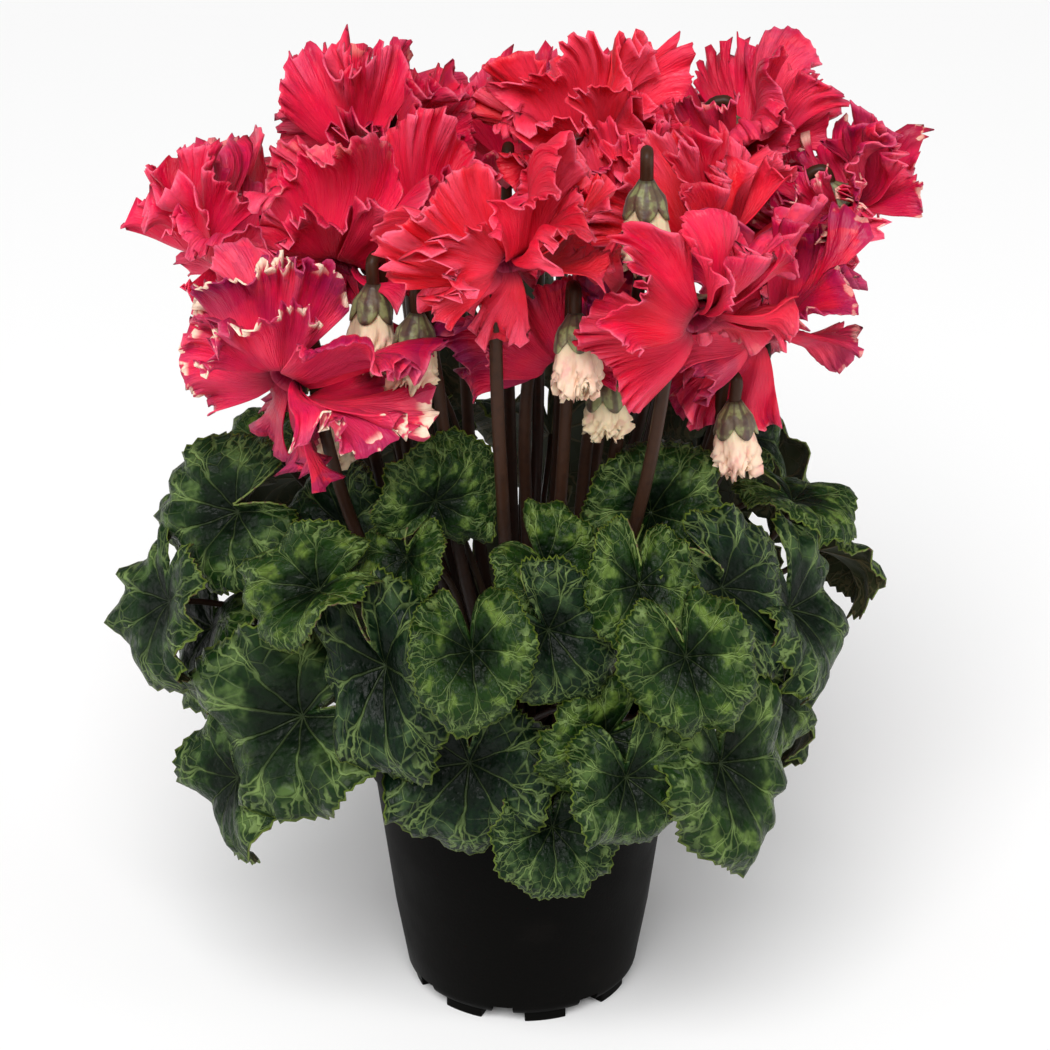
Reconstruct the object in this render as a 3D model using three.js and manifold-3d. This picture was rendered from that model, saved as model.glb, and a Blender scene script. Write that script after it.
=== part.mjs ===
// A potted florist's cyclamen with fringed flowers: a black nursery pot, its soil, the corm with all its
// flower stalks, the heart-shaped toothed leaves on their stems, and the ruffled flowers and buds.
// Millimetres, +Z up. The origin is the middle of the pot's foot, on the surface it stands on, and
// the front of the plant looks along -Y.
import * as THREE from "three";
import { mergeVertices } from "three/addons/utils/BufferGeometryUtils.js";
import Module from "manifold-3d";

const wasm = await Module();
wasm.setup();

// Driving dimensions of the pot
const POT_HEIGHT = 122;
const RIM_RADIUS = 70;
const FOOT_RADIUS = 53;
const WALL = 1.6;
const LIP_HEIGHT = 13;
const LIP_STEP = 1.6;
const CORNER = 6;
const FOOT_HEIGHT = 4;
const FOOT_COUNT = 8;
const FOOT_TURN = 12.5;
const FOOT_INSET = 3.4;
const FOOT_WIDTH = 7;
const FOOT_HALF_ARC = 11;
const BOSS_RADIUS = 9;
const SLOT = { wide: 10, deep: 12, high: 12 };
const POT_SEGMENTS = 32;

// Driving dimensions of the soil and the corm
const SOIL_TOP = 112;
const CORM_RADIUS = 24;
const CORM_HALF_HEIGHT = 13;
const CORM_CENTRE = 115;
const GAP = 0.35;

// Driving dimensions of the leaves
const BLADE_THICKNESS = 1.0;
const LEAF_STEM_RADIUS = 1.6;
const LEAF_STEM_STEPS = [0, 0.3, 0.65, 1];
const TOOTH_DEPTH = 0.055;
const ROOT_DEPTH = 6;
const ROOT_RINGS = { skirt: 54, middle: 44, crown: 34 };

// Driving dimensions of the flowers
const PETAL_THICKNESS = 1.0;
const PETAL_COUNT = 5;
const PETAL_PITCH = 64;
const PETAL_HALF_ANGLE = 31;
const PETAL_BASE_HALF_WIDTH = 2.5;
const THROAT_RADIUS = 5.4;
const THROAT_LENGTH = 7;
const STALK_RADIUS = 2.6;
const STALK_SIDES = 5;
const CALYX_LENGTH = 6;
const BUD_CALYX_LENGTH = 9;
const BUD_TWIST = 0.9;
const HOOK = 13;

const UP = new THREE.Vector3(0, 0, 1);
const radians = THREE.MathUtils.degToRad;

// A repeatable draw from 0 to 1 for a whole number.
function draw(number) {
  const value = Math.sin(number * 12.9898) * 43758.5453;
  return value - Math.floor(value);
}

// The level direction at a turn round the pot: 0 is the front, 90 the right.
function outward(turn) {
  return new THREE.Vector3(Math.sin(radians(turn)), -Math.cos(radians(turn)), 0);
}

// A point at a turn, a distance from the pot's axis and a height.
function place(turn, reach, height) {
  return outward(turn).multiplyScalar(reach).setZ(height);
}

// Solids

function solid(geometry) {
  const bare = geometry.clone();
  bare.deleteAttribute("normal");
  bare.deleteAttribute("uv");
  const merged = mergeVertices(bare, 1e-4);
  return new wasm.Manifold(
    new wasm.Mesh({
      numProp: 3,
      vertProperties: merged.attributes.position.array,
      triVerts: new Uint32Array(merged.index.array),
    }),
  );
}

function fuse(solids) {
  return solids.reduce((joined, next) => joined.add(next));
}

function geometryOf(shape) {
  const mesh = shape.getMesh();
  const geometry = new THREE.BufferGeometry();
  geometry.setAttribute("position", new THREE.BufferAttribute(mesh.vertProperties, 3));
  geometry.setIndex(new THREE.BufferAttribute(mesh.triVerts, 1));
  return geometry;
}

// A closed solid of points and triangles given as index triples.
function hull(points, triangles) {
  const geometry = new THREE.BufferGeometry();
  geometry.setAttribute("position", new THREE.Float32BufferAttribute(points.flatMap((p) => p.toArray()), 3));
  geometry.setIndex(triangles.flat());
  return solid(geometry);
}

// Rings of points round a line of points, each ring anticlockwise about the way the line runs. across
// is where each ring's first point lies, as near as the line's own turning allows.
function ringsAlong(line, radii, sides, across) {
  let first = across;
  return line.flatMap((point, i) => {
    const before = line[Math.max(i - 1, 0)];
    const after = line[Math.min(i + 1, line.length - 1)];
    const ahead = new THREE.Vector3().subVectors(after, before).normalize();
    first = first.clone().addScaledVector(ahead, -first.dot(ahead)).normalize();
    const second = new THREE.Vector3().crossVectors(ahead, first);
    return Array.from({ length: sides }, (_, k) => {
      const angle = (2 * Math.PI * k) / sides;
      return point
        .clone()
        .addScaledVector(first, radii[i] * Math.cos(angle))
        .addScaledVector(second, radii[i] * Math.sin(angle));
    });
  });
}

// The triangles of a tube's wall, from the ring that starts at one index to the ring that starts at
// another, and of the cap at its far end.
function wallFaces(from, to, sides) {
  const faces = [];
  for (let start = from; start < to; start += sides) {
    for (let k = 0; k < sides; k += 1) {
      const a = start + k;
      const b = start + ((k + 1) % sides);
      faces.push([a, b, b + sides], [a, b + sides, a + sides]);
    }
  }
  for (let k = 1; k + 1 < sides; k += 1) faces.push([to, to + k, to + k + 1]);
  return faces;
}

// A closed tube through rings of points.
function tube(corners, sides) {
  const faces = wallFaces(0, corners.length - sides, sides);
  for (let k = 1; k + 1 < sides; k += 1) faces.push([0, k + 1, k]);
  return hull(corners, faces);
}

// A turned solid with its axis moved from Y to a given line.
function turned(profile, segments, foot = new THREE.Vector3(), axis = UP) {
  const geometry = new THREE.LatheGeometry(
    profile.map(([radius, height]) => new THREE.Vector2(radius, height)),
    segments,
  );
  const turn = new THREE.Quaternion().setFromUnitVectors(new THREE.Vector3(0, 1, 0), axis);
  return solid(geometry.applyQuaternion(turn).translate(foot.x, foot.y, foot.z));
}

// Pot: a thin tapered wall with a thicker lip, a round lower corner, a floor and eight feet, with a
// drain slot between each two feet and a small flat boss in the middle of the floor.

function wallRadius(height) {
  return FOOT_RADIUS + ((RIM_RADIUS - LIP_STEP - FOOT_RADIUS) * height) / POT_HEIGHT;
}

function makePot() {
  const floorTop = FOOT_HEIGHT + WALL;
  const lipFoot = POT_HEIGHT - LIP_HEIGHT;
  const shell = turned(
    [
      [0, FOOT_HEIGHT],
      [wallRadius(0) - CORNER, FOOT_HEIGHT],
      [wallRadius(0) - 0.3 * CORNER, FOOT_HEIGHT + 0.3 * CORNER],
      [wallRadius(FOOT_HEIGHT + CORNER), FOOT_HEIGHT + CORNER],
      [wallRadius(lipFoot), lipFoot],
      [RIM_RADIUS - 0.4, lipFoot],
      [RIM_RADIUS, POT_HEIGHT - 1],
      [RIM_RADIUS - 1, POT_HEIGHT],
      [RIM_RADIUS - LIP_STEP - WALL, POT_HEIGHT],
      [wallRadius(lipFoot) - WALL, lipFoot - 2],
      [wallRadius(FOOT_HEIGHT + CORNER) - WALL, FOOT_HEIGHT + CORNER],
      [wallRadius(0) - CORNER, floorTop],
      [0, floorTop],
    ],
    POT_SEGMENTS,
  );
  const bossTop = FOOT_HEIGHT + 0.5;
  const boss = turned([[0, 0], [BOSS_RADIUS, 0], [BOSS_RADIUS + 1, bossTop], [0, bossTop]], 16);
  let pot = fuse([shell, boss]);
  for (let k = 0; k < FOOT_COUNT; k += 1) {
    const turn = FOOT_TURN + (360 / FOOT_COUNT) * k;
    pot = pot.add(makeFoot(turn));
    pot = pot.subtract(makeDrainSlot(turn + 180 / FOOT_COUNT));
  }
  return pot;
}

// A foot is a short arc below the floor, set in a little from the wall.
function makeFoot(turn) {
  const outer = wallRadius(0) - FOOT_INSET;
  const half = radians(FOOT_HALF_ARC);
  const shape = new THREE.Shape();
  shape.absarc(0, 0, outer, -half, half, false);
  shape.absarc(0, 0, outer - FOOT_WIDTH, half, -half, true);
  shape.closePath();
  const options = { depth: FOOT_HEIGHT + 1.3, bevelEnabled: false, curveSegments: 2 };
  return solid(new THREE.ExtrudeGeometry(shape, options).rotateZ(radians(turn - 90)));
}

function makeDrainSlot(turn) {
  const slot = new THREE.BoxGeometry(SLOT.wide, SLOT.deep, SLOT.high);
  const middle = place(turn, wallRadius(0) - 2, FOOT_HEIGHT - 1);
  return solid(slot.rotateZ(radians(turn)).translate(middle.x, middle.y, middle.z));
}

// Soil: it fills the pot to below the lip, with a low uneven top.

function makeSoil() {
  const clear = (height) => wallRadius(height) - WALL - GAP - 0.3;
  const soil = turned(
    [
      [0, FOOT_HEIGHT + WALL + GAP],
      [clear(0) - CORNER, FOOT_HEIGHT + WALL + GAP],
      [clear(10), FOOT_HEIGHT + CORNER + 1],
      [clear(SOIL_TOP - 6), SOIL_TOP - 6],
      [clear(SOIL_TOP) - 3, SOIL_TOP - 1],
      [0, SOIL_TOP],
    ],
    24,
  );
  return soil.subtract(fuse([cormShape(GAP), ...LEAVES.map(makeStemHole)]));
}

// A leaf's stem stands in a hole of its own that leans as it does.
function makeStemHole(leaf) {
  const [root, next] = leafStemPoints(leaf);
  const along = new THREE.Vector3().subVectors(next, root).normalize();
  const ends = [-GAP, 3 * ROOT_DEPTH].map((step) => root.clone().addScaledVector(along, step));
  const radius = 1.5 * LEAF_STEM_RADIUS + GAP; // a square hole's flats lie nearer than its corners
  return tube(ringsAlong(ends, [radius, radius], 4, outward(leaf.turn)), 4);
}

// Corm: a flattened brown tuber, its upper half above the soil.
function cormShape(grow = 0) {
  const ball = new THREE.SphereGeometry(1, 14, 8).rotateX(Math.PI / 2);
  const wide = CORM_RADIUS + grow;
  return solid(ball.scale(wide, wide, CORM_HALF_HEIGHT + grow).translate(0, 0, CORM_CENTRE));
}

// Leaves

// A leaf grows at the end of its stem. turn, reach and height place the end of the stem; face is the
// turn that the upper side looks to and droop its tilt from looking straight up; spin turns the tip
// from pointing down the slope, towards the right when positive. size runs from the stem to the tip.
// slim narrows it, funnel deepens its middle, roll curls its margin down, wave ripples it, fold
// raises its halves and bend carries its tip down, in radians.
const LEAF_DEFAULTS = {
  droop: 60,
  spin: 0,
  size: 30,
  slim: 1,
  funnel: 0.3,
  roll: 0.28,
  wave: 0.09,
  waves: 5,
  fold: 0,
  bend: 0.5,
};

// The crown: the uppermost leaves, round the flower stalks
const CROWN = [
  { name: "a1", turn: -27, reach: 101, height: 245, face: -27, droop: 65, spin: -14, size: 25 },
  { name: "a2", turn: 5, reach: 104, height: 248, face: 11, droop: 54, spin: 33, size: 26 },
  { name: "a3", turn: 22, reach: 123, height: 244, face: 10, droop: 59, spin: -2, size: 34, slim: 0.8 },
  { name: "a4", turn: 35, reach: 91, height: 258, face: -1, droop: 65, spin: 147, size: 30, funnel: 0.4 },
  { name: "a5", turn: -22, reach: 92, height: 268, face: 13, droop: 98, spin: 141, size: 25 },
  { name: "a6", turn: -53, reach: 91, height: 244, face: -28, droop: 66, spin: -118, size: 31 },
  { name: "a7", turn: -92, reach: 108, height: 256, face: -80, droop: 30, spin: 20, size: 28 },
  { name: "a8", turn: 78, reach: 117, height: 241, face: 76, droop: 12, spin: -4, size: 30, bend: 0.8 },
  { name: "a9", joins: "a8", turn: 100, reach: 98, height: 255, face: 70, droop: 55, spin: 169, size: 27 },
  { name: "a10", turn: 146, reach: 108, height: 257, face: 147, droop: 54, spin: 12, size: 36 },
  { name: "a11", turn: 174, reach: 116, height: 274, face: 158, droop: 55, spin: 8, size: 36 },
  { name: "a12", turn: -152, reach: 98, height: 266, face: -145, droop: 60, spin: -14, size: 37 },
  { name: "a13", turn: -121, reach: 116, height: 256, face: -107, droop: 55, spin: -9, size: 34 },
];

// The middle: the widest part of the mound
const MIDDLE = [
  { name: "b1", turn: -38, reach: 130, height: 236, face: -34, droop: 52, spin: -50,
    size: 33, fold: 0.4, slim: 0.8 },
  { name: "b2", turn: -70, reach: 125, height: 245, face: -32, droop: 70, spin: -59, size: 38, wave: 0.13 },
  { name: "b3", joins: "a7", turn: -88, reach: 132, height: 238, face: -92, droop: 44, spin: 30,
    size: 30, wave: 0.12 },
  { name: "b4", turn: -74, reach: 154, height: 204, face: -61, droop: 74, spin: -3, size: 42 },
  { name: "b5", turn: -8, reach: 138, height: 226, face: -2, droop: 62, spin: 8, size: 29, funnel: 0.4 },
  { name: "b6", turn: 5, reach: 120, height: 227, face: 10, droop: 79, spin: 39, size: 32 },
  { name: "b7", turn: 26, reach: 146, height: 221, face: 5, droop: 70, spin: 14, size: 31 },
  { name: "b8", turn: 40, reach: 124, height: 234, face: 40, droop: 68, spin: 35, size: 44, slim: 0.76 },
  { name: "b9", joins: "b8", turn: 58, reach: 129, height: 212, face: 61, droop: 62, spin: 7, size: 40 },
  { name: "b10", joins: "a8", turn: 95, reach: 131, height: 204, face: 109, droop: 53, spin: 20, size: 37 },
  { name: "b11", turn: 117, reach: 128, height: 215, face: 125, droop: 64, spin: -6, size: 40 },
  { name: "b12", joins: "a10", turn: 145, reach: 145, height: 206, face: 146, droop: 62, spin: 14, size: 41 },
  { name: "b13", joins: "a11", turn: 174, reach: 132, height: 212, face: 176, droop: 60, spin: -10, size: 42 },
  { name: "b14", joins: "a12", turn: -153, reach: 132, height: 210, face: -172, droop: 73, spin: 2, size: 41 },
  { name: "b15", joins: "a13", turn: -130, reach: 134, height: 208, face: -132, droop: 60, spin: -8,
    size: 41 },
  { name: "b16", turn: -109, reach: 132, height: 204, face: -108, droop: 66, spin: 9, size: 40 },
];

// The skirt: the lowest leaves, hanging over the pot's rim
const SKIRT = [
  { name: "c1", joins: "b1", turn: -27, reach: 119, height: 205, face: -24, droop: 75, spin: 17,
    size: 50, slim: 0.64 },
  { name: "c2", turn: -47, reach: 123, height: 171, face: -26, droop: 73, spin: -58, size: 48, bend: 0.8 },
  { name: "c3", joins: "c2", turn: -61, reach: 137, height: 133, face: -48, droop: 82, spin: -8,
    size: 38, slim: 0.8 },
  { name: "c4", joins: "b4", turn: -78, reach: 135, height: 185, face: -63, droop: 68, spin: -6,
    size: 37, teeth: 8 },
  { name: "c5", turn: -12, reach: 102, height: 158, face: -8, droop: 82, spin: -4, size: 42 },
  { name: "c6", joins: "c7", turn: 17, reach: 116, height: 176, face: 14, droop: 81, spin: -48, size: 30 },
  { name: "c7", turn: 18, reach: 134, height: 166, face: 20, droop: 80, spin: 8, size: 32 },
  { name: "c8", joins: "c5", turn: 7, reach: 103, height: 129, face: 9, droop: 71, spin: -2,
    size: 29, roll: 0.1 },
  { name: "c9", joins: "c7", turn: 36, reach: 136, height: 163, face: 35, droop: 78, spin: 16,
    size: 48, slim: 0.76 },
  { name: "c10", turn: 56, reach: 124, height: 174, face: 55, droop: 76, spin: 6, size: 34 },
  { name: "c11", turn: 88, reach: 108, height: 150, face: 88, droop: 78, spin: 5, size: 43, teeth: 8 },
  { name: "c12", joins: "b11", turn: 130, reach: 117, height: 169, face: 114, droop: 92, spin: -1, size: 43 },
  { name: "c13", turn: 159, reach: 106, height: 146, face: 166, droop: 78, spin: 13, size: 45 },
  { name: "c14", turn: -168, reach: 108, height: 150, face: -168, droop: 80, spin: -6, size: 46 },
  { name: "c15", joins: "c14", turn: -134, reach: 108, height: 148, face: -134, droop: 78, spin: 8, size: 45 },
  { name: "c16", joins: "b16", turn: -98, reach: 110, height: 146, face: -94, droop: 86, spin: 8, size: 44 },
];

// Leaves behind have fewer teeth.
const LEAVES = Object.entries({ crown: CROWN, middle: MIDDLE, skirt: SKIRT })
  .flatMap(([tier, leaves]) => leaves.map((leaf) => ({ ...leaf, tier })))
  .map((leaf, number) => ({ ...LEAF_DEFAULTS, teeth: Math.abs(leaf.turn) > 97 ? 8 : 10, ...leaf, number }));

// The roots of a tier stand evenly round its ring, in the order of their leaves. A leaf that joins
// another springs from that one's root, on the side that it leans to.
function rootOf(leaf) {
  if (leaf.joins) {
    const other = LEAVES.find(({ name }) => name === leaf.joins);
    const aside = place(leaf.turn, leaf.reach, 0).sub(place(other.turn, other.reach, 0));
    return rootOf(other).addScaledVector(aside.normalize(), 1.3 * LEAF_STEM_RADIUS);
  }
  const tier = LEAVES.filter((other) => other.tier === leaf.tier && !other.joins);
  tier.sort((a, b) => a.turn - b.turn);
  const turn = tier[0].turn + (360 / tier.length) * tier.indexOf(leaf);
  return place(turn, ROOT_RINGS[leaf.tier], SOIL_TOP - ROOT_DEPTH);
}

// The blade's outline as a share of its size, at an angle from the tip.
function outline(phi) {
  const tip = 0.1 * Math.exp(-((phi / 0.4) ** 2));
  const notch = 0.76 * Math.exp(-(((Math.PI - Math.abs(phi)) / 0.24) ** 2));
  return (0.86 + 0.04 * Math.cos(phi) + tip) * (1 - notch);
}

// Three directions of a blade: along to the tip, across and out of its upper face.
function bladeAxes(leaf) {
  const out = outward(leaf.face);
  const tilt = radians(leaf.droop);
  const normal = UP.clone().multiplyScalar(Math.cos(tilt)).addScaledVector(out, Math.sin(tilt));
  const down = out.clone().multiplyScalar(Math.cos(tilt)).addScaledVector(UP, -Math.sin(tilt));
  const side = new THREE.Vector3().crossVectors(normal, down);
  const spin = radians(leaf.spin);
  const along = down.clone().multiplyScalar(Math.cos(spin)).addScaledVector(side, Math.sin(spin));
  return { along, across: new THREE.Vector3().crossVectors(normal, along), normal };
}

// A point of the blade at an angle from the tip and a share of the way out to the margin.
function bladePoint(leaf, axes, phi, share, level) {
  const r = share * outline(phi);
  const x = r * Math.cos(phi);
  const y = r * Math.sin(phi) * leaf.slim;
  const phase = 2 * Math.PI * draw(leaf.number + 1);
  const h =
    leaf.funnel * (2 * r - r * r) -
    leaf.roll * r ** 4 +
    leaf.wave * r * r * Math.sin(leaf.waves * phi + phase) +
    leaf.fold * Math.abs(y) +
    level / leaf.size;
  const bow = leaf.bend * x;
  const flat = Math.abs(bow) < 1e-6;
  const forward = (flat ? x : Math.sin(bow) / leaf.bend) + h * Math.sin(bow);
  const rise = (flat ? 0 : (Math.cos(bow) - 1) / leaf.bend) + h * Math.cos(bow);
  return place(leaf.turn, leaf.reach, leaf.height)
    .addScaledVector(axes.along, forward * leaf.size)
    .addScaledVector(axes.across, y * leaf.size)
    .addScaledVector(axes.normal, rise * leaf.size);
}

// A leaf is one closed skin. Its blade has a middle point, a middle ring and a toothed margin with two
// points to each tooth, alike above and below, and its stem grows from the underside's middle.
function leafSkin(leaf) {
  const axes = bladeAxes(leaf);
  const count = leaf.teeth;
  const face = (level) => [
    ...Array.from({ length: count }, (_, j) => {
      return bladePoint(leaf, axes, -Math.PI + (2 * Math.PI * j) / count, 0.52, level);
    }),
    ...Array.from({ length: 2 * count }, (_, i) => {
      const tooth = i === 0 ? 0 : i % 2 ? TOOTH_DEPTH : -TOOTH_DEPTH;
      return bladePoint(leaf, axes, -Math.PI + (Math.PI * i) / count, 1 + tooth, level);
    }),
  ];
  const above = face(BLADE_THICKNESS / 2);
  const below = face(-BLADE_THICKNESS / 2);
  const sides = count / 2;
  const line = leafStemPoints(leaf).reverse();
  const rings = ringsAlong(line, line.map(() => LEAF_STEM_RADIUS), sides, axes.along);
  const middle = bladePoint(leaf, axes, 0, 0, BLADE_THICKNESS / 2);
  const under = above.length;
  const stemStart = 2 * under;
  const faces = [];
  for (let j = 0; j < count; j += 1) {
    const next = (j + 1) % count;
    const [first, tooth, last] = [2 * j, 2 * j + 1, (2 * j + 2) % (2 * count)].map((i) => count + i);
    [
      [j, first, tooth],
      [j, tooth, next],
      [next, tooth, last],
    ].forEach(([a, b, c]) => faces.push([a, b, c], [a + under, c + under, b + under]));
    [
      [first, tooth],
      [tooth, last],
    ].forEach(([a, b]) => faces.push([a + under, b + under, b], [a + under, b, a]));
    faces.push([stemStart + rings.length, j, next]);
  }
  for (let k = 0; k < sides; k += 1) {
    const ring = [0, 1, 2].map((step) => under + ((3 * count) / 2 - 2 * k - step) % count);
    const [a, b] = [stemStart + k, stemStart + ((k + 1) % sides)];
    faces.push([a, ring[0], ring[1]], [a, ring[1], b], [b, ring[1], ring[2]]);
  }
  faces.push(...wallFaces(stemStart, stemStart + rings.length - sides, sides));
  return hull([...above, ...below, ...rings, middle], faces);
}

// A leaf's stem leaves the soil upright and meets the blade from behind; a low leaf's stem first
// arches over the pot's rim.
function leafStemPoints(leaf) {
  const root = rootOf(leaf);
  const { normal } = bladeAxes(leaf);
  const end = place(leaf.turn, leaf.reach, leaf.height).addScaledVector(normal, -1.2);
  const span = root.distanceTo(end);
  const hang = THREE.MathUtils.clamp((200 - leaf.height) / 60, 0.1, 1);
  const rise = Math.max(0.55 * (end.z - root.z), 48);
  const first = root.clone().addScaledVector(UP, rise);
  const last = end
    .clone()
    .addScaledVector(normal, -0.3 * span)
    .addScaledVector(UP, hang * 0.4 * span);
  const curve = new THREE.CubicBezierCurve3(root, first, last, end);
  return LEAF_STEM_STEPS.map((t) => curve.getPoint(t));
}

// A leaf, with those that join it.
function makeLeaf(leaf) {
  const joined = LEAVES.filter((other) => other.joins === leaf.name);
  return fuse([leafSkin(leaf), ...joined.map(makeLeaf)]);
}

// Flowers

// A flower nods at the end of its hooked stalk. turn, reach and height place its neck, where the calyx
// meets the petals; face is the turn that its mouth looks to and nod the mouth's angle below level.
// petal is a petal's length and reflex the angle by which the petals are thrown back from the mouth.
const FLOWER_DEFAULTS = { nod: 60, petal: 47, reflex: 150, ruffle: 6, twist: 40 };

const FLOWERS = [
  { name: "01", turn: -78, reach: 120, height: 351, face: -80, nod: 41, reflex: 142, petal: 50 },
  { name: "02", turn: -112, reach: 66, height: 388, face: -33, nod: 69 },
  { name: "03", turn: -47, reach: 92, height: 364, face: -39, nod: 42, reflex: 142, petal: 50 },
  { name: "04", turn: -40, reach: 136, height: 330, face: -36, nod: 31, reflex: 130, petal: 52 },
  { name: "05", turn: -2, reach: 129, height: 386, face: 22, nod: 45, reflex: 136, petal: 48 },
  { name: "06", turn: -175, reach: 60, height: 364, face: 174, nod: 54 },
  { name: "07", turn: 80, reach: 26, height: 402, face: 26, nod: 80, petal: 44 },
  { name: "08", turn: 106, reach: 92, height: 390, face: 85, reflex: 144, petal: 48, nod: 69 },
  { name: "09", turn: 85, reach: 129, height: 372, face: 83, nod: 53, reflex: 140, petal: 48 },
  { name: "10", turn: 53, reach: 87, height: 368, face: 22, nod: 38, reflex: 144 },
  { name: "11", turn: 27, reach: 141, height: 362, face: 33, nod: 31, reflex: 128, petal: 41 },
  { name: "12", turn: 57, reach: 111, height: 335, face: 37, nod: 33, reflex: 130, petal: 50 },
  { name: "13", turn: 113, reach: 130, height: 334, face: 108, nod: 55, reflex: 138 },
  { name: "14", turn: 10, reach: 78, height: 333, face: 53, nod: 62, reflex: 132, petal: 42 },
  { name: "15", turn: -146, reach: 119, height: 362, face: -140 },
  { name: "16", turn: 172, reach: 113, height: 359, face: 152, nod: 60 },
  { name: "17", turn: 141, reach: 127, height: 354, face: 134, nod: 54 },
  { name: "18", turn: -117, reach: 127, height: 339, face: -107, nod: 58 },
  { name: "19", turn: -58, reach: 39, height: 361, face: -30, nod: 44, reflex: 142, petal: 48 },
  { name: "20", turn: 59, reach: 49, height: 366, face: 10, nod: 44, reflex: 148, petal: 44 },
].map((flower, number) => ({ ...FLOWER_DEFAULTS, ...flower, number }));

const BUDS = [
  { name: "1", turn: 25, reach: 111, height: 401, face: -2, nod: 87, length: 20 },
  { name: "2", turn: 11, reach: 108, height: 350, face: 8, nod: 75, length: 17 },
  { name: "3", turn: -22, reach: 107, height: 348, face: -24, nod: 80, length: 16 },
  { name: "4", turn: -33, reach: 105, height: 356, face: -17, nod: 82, length: 18 },
  { name: "5", turn: 22, reach: 89, height: 318, face: 22, nod: 84, length: 12 },
  { name: "6", turn: 50, reach: 111, height: 302, face: 29, nod: 84, length: 16 },
  { name: "7", turn: -48, reach: 97, height: 305, face: -42, nod: 76, length: 17 },
].map((bud, number) => ({ ...bud, number }));

// Directions of a flower or bud: down its mouth, up its back and across.
function flowerAxes({ face, nod }) {
  const out = outward(face);
  const dip = radians(nod);
  const mouth = out.clone().multiplyScalar(Math.cos(dip)).addScaledVector(UP, -Math.sin(dip));
  const back = UP.clone().multiplyScalar(Math.cos(dip)).addScaledVector(out, Math.sin(dip));
  return { mouth, back, across: new THREE.Vector3().crossVectors(mouth, back) };
}

// How far out and how far forward a petal's middle line is at a length along it, and its lean there.
function petalLine(flower, length, seed) {
  const start = radians(25);
  const end = radians(flower.reflex + 20 * (draw(seed) - 0.5));
  const lean = (s) => start + (end - start) * (1 - Math.exp(-s / 5));
  const steps = 16;
  const step = length / steps;
  let out = THROAT_RADIUS;
  let forward = THROAT_LENGTH - 2;
  for (let i = 0; i < steps; i += 1) {
    const angle = lean((i + 0.5) * step);
    out += step * Math.sin(angle);
    forward += step * Math.cos(angle);
  }
  return { out, forward, lean: lean(length) };
}

// A point of a petal at an angle from its middle line and a share of its length.
function petalPoint(flower, axes, petal, angle, share, level) {
  const number = 7 * flower.number + petal;
  const turn = radians((petal - 2) * PETAL_PITCH + 6 * (draw(number) - 0.5));
  const radial = new THREE.Vector3()
    .addScaledVector(axes.back, Math.cos(turn))
    .addScaledVector(axes.across, Math.sin(turn));
  const side = new THREE.Vector3().crossVectors(axes.mouth, radial);
  const half = radians(PETAL_HALF_ANGLE);
  const length = share * flower.petal * Math.cos(angle) * (0.94 + 0.12 * draw(number + 0.3));
  const width = PETAL_BASE_HALF_WIDTH * (1 - share) * (angle / half) + share * flower.petal * Math.sin(angle);
  const line = petalLine(flower, length, number + 0.15);
  const normal = radial
    .clone()
    .multiplyScalar(-Math.cos(line.lean))
    .addScaledVector(axes.mouth, Math.sin(line.lean));
  const twist = radians(flower.twist) * (1 - Math.exp(-6 * share));
  const lateral = side.clone().multiplyScalar(Math.cos(twist)).addScaledVector(normal, Math.sin(twist));
  const facing = normal.clone().multiplyScalar(Math.cos(twist)).addScaledVector(side, -Math.sin(twist));
  const phase = 2 * Math.PI * draw(number + 0.9);
  const ripple = flower.ruffle * share ** 2 * Math.sin((4.4 * angle) / half + phase);
  return place(flower.turn, flower.reach, flower.height)
    .addScaledVector(radial, line.out)
    .addScaledVector(axes.mouth, line.forward)
    .addScaledVector(lateral, width)
    .addScaledVector(facing, ripple + level);
}

// Rows of points from a petal's narrow foot to its ruffled, notched margin.
const PETAL_ROWS = [
  { share: 0, count: 2 },
  { share: 0.42, count: 3 },
  { share: 1, count: 7 },
];

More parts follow.
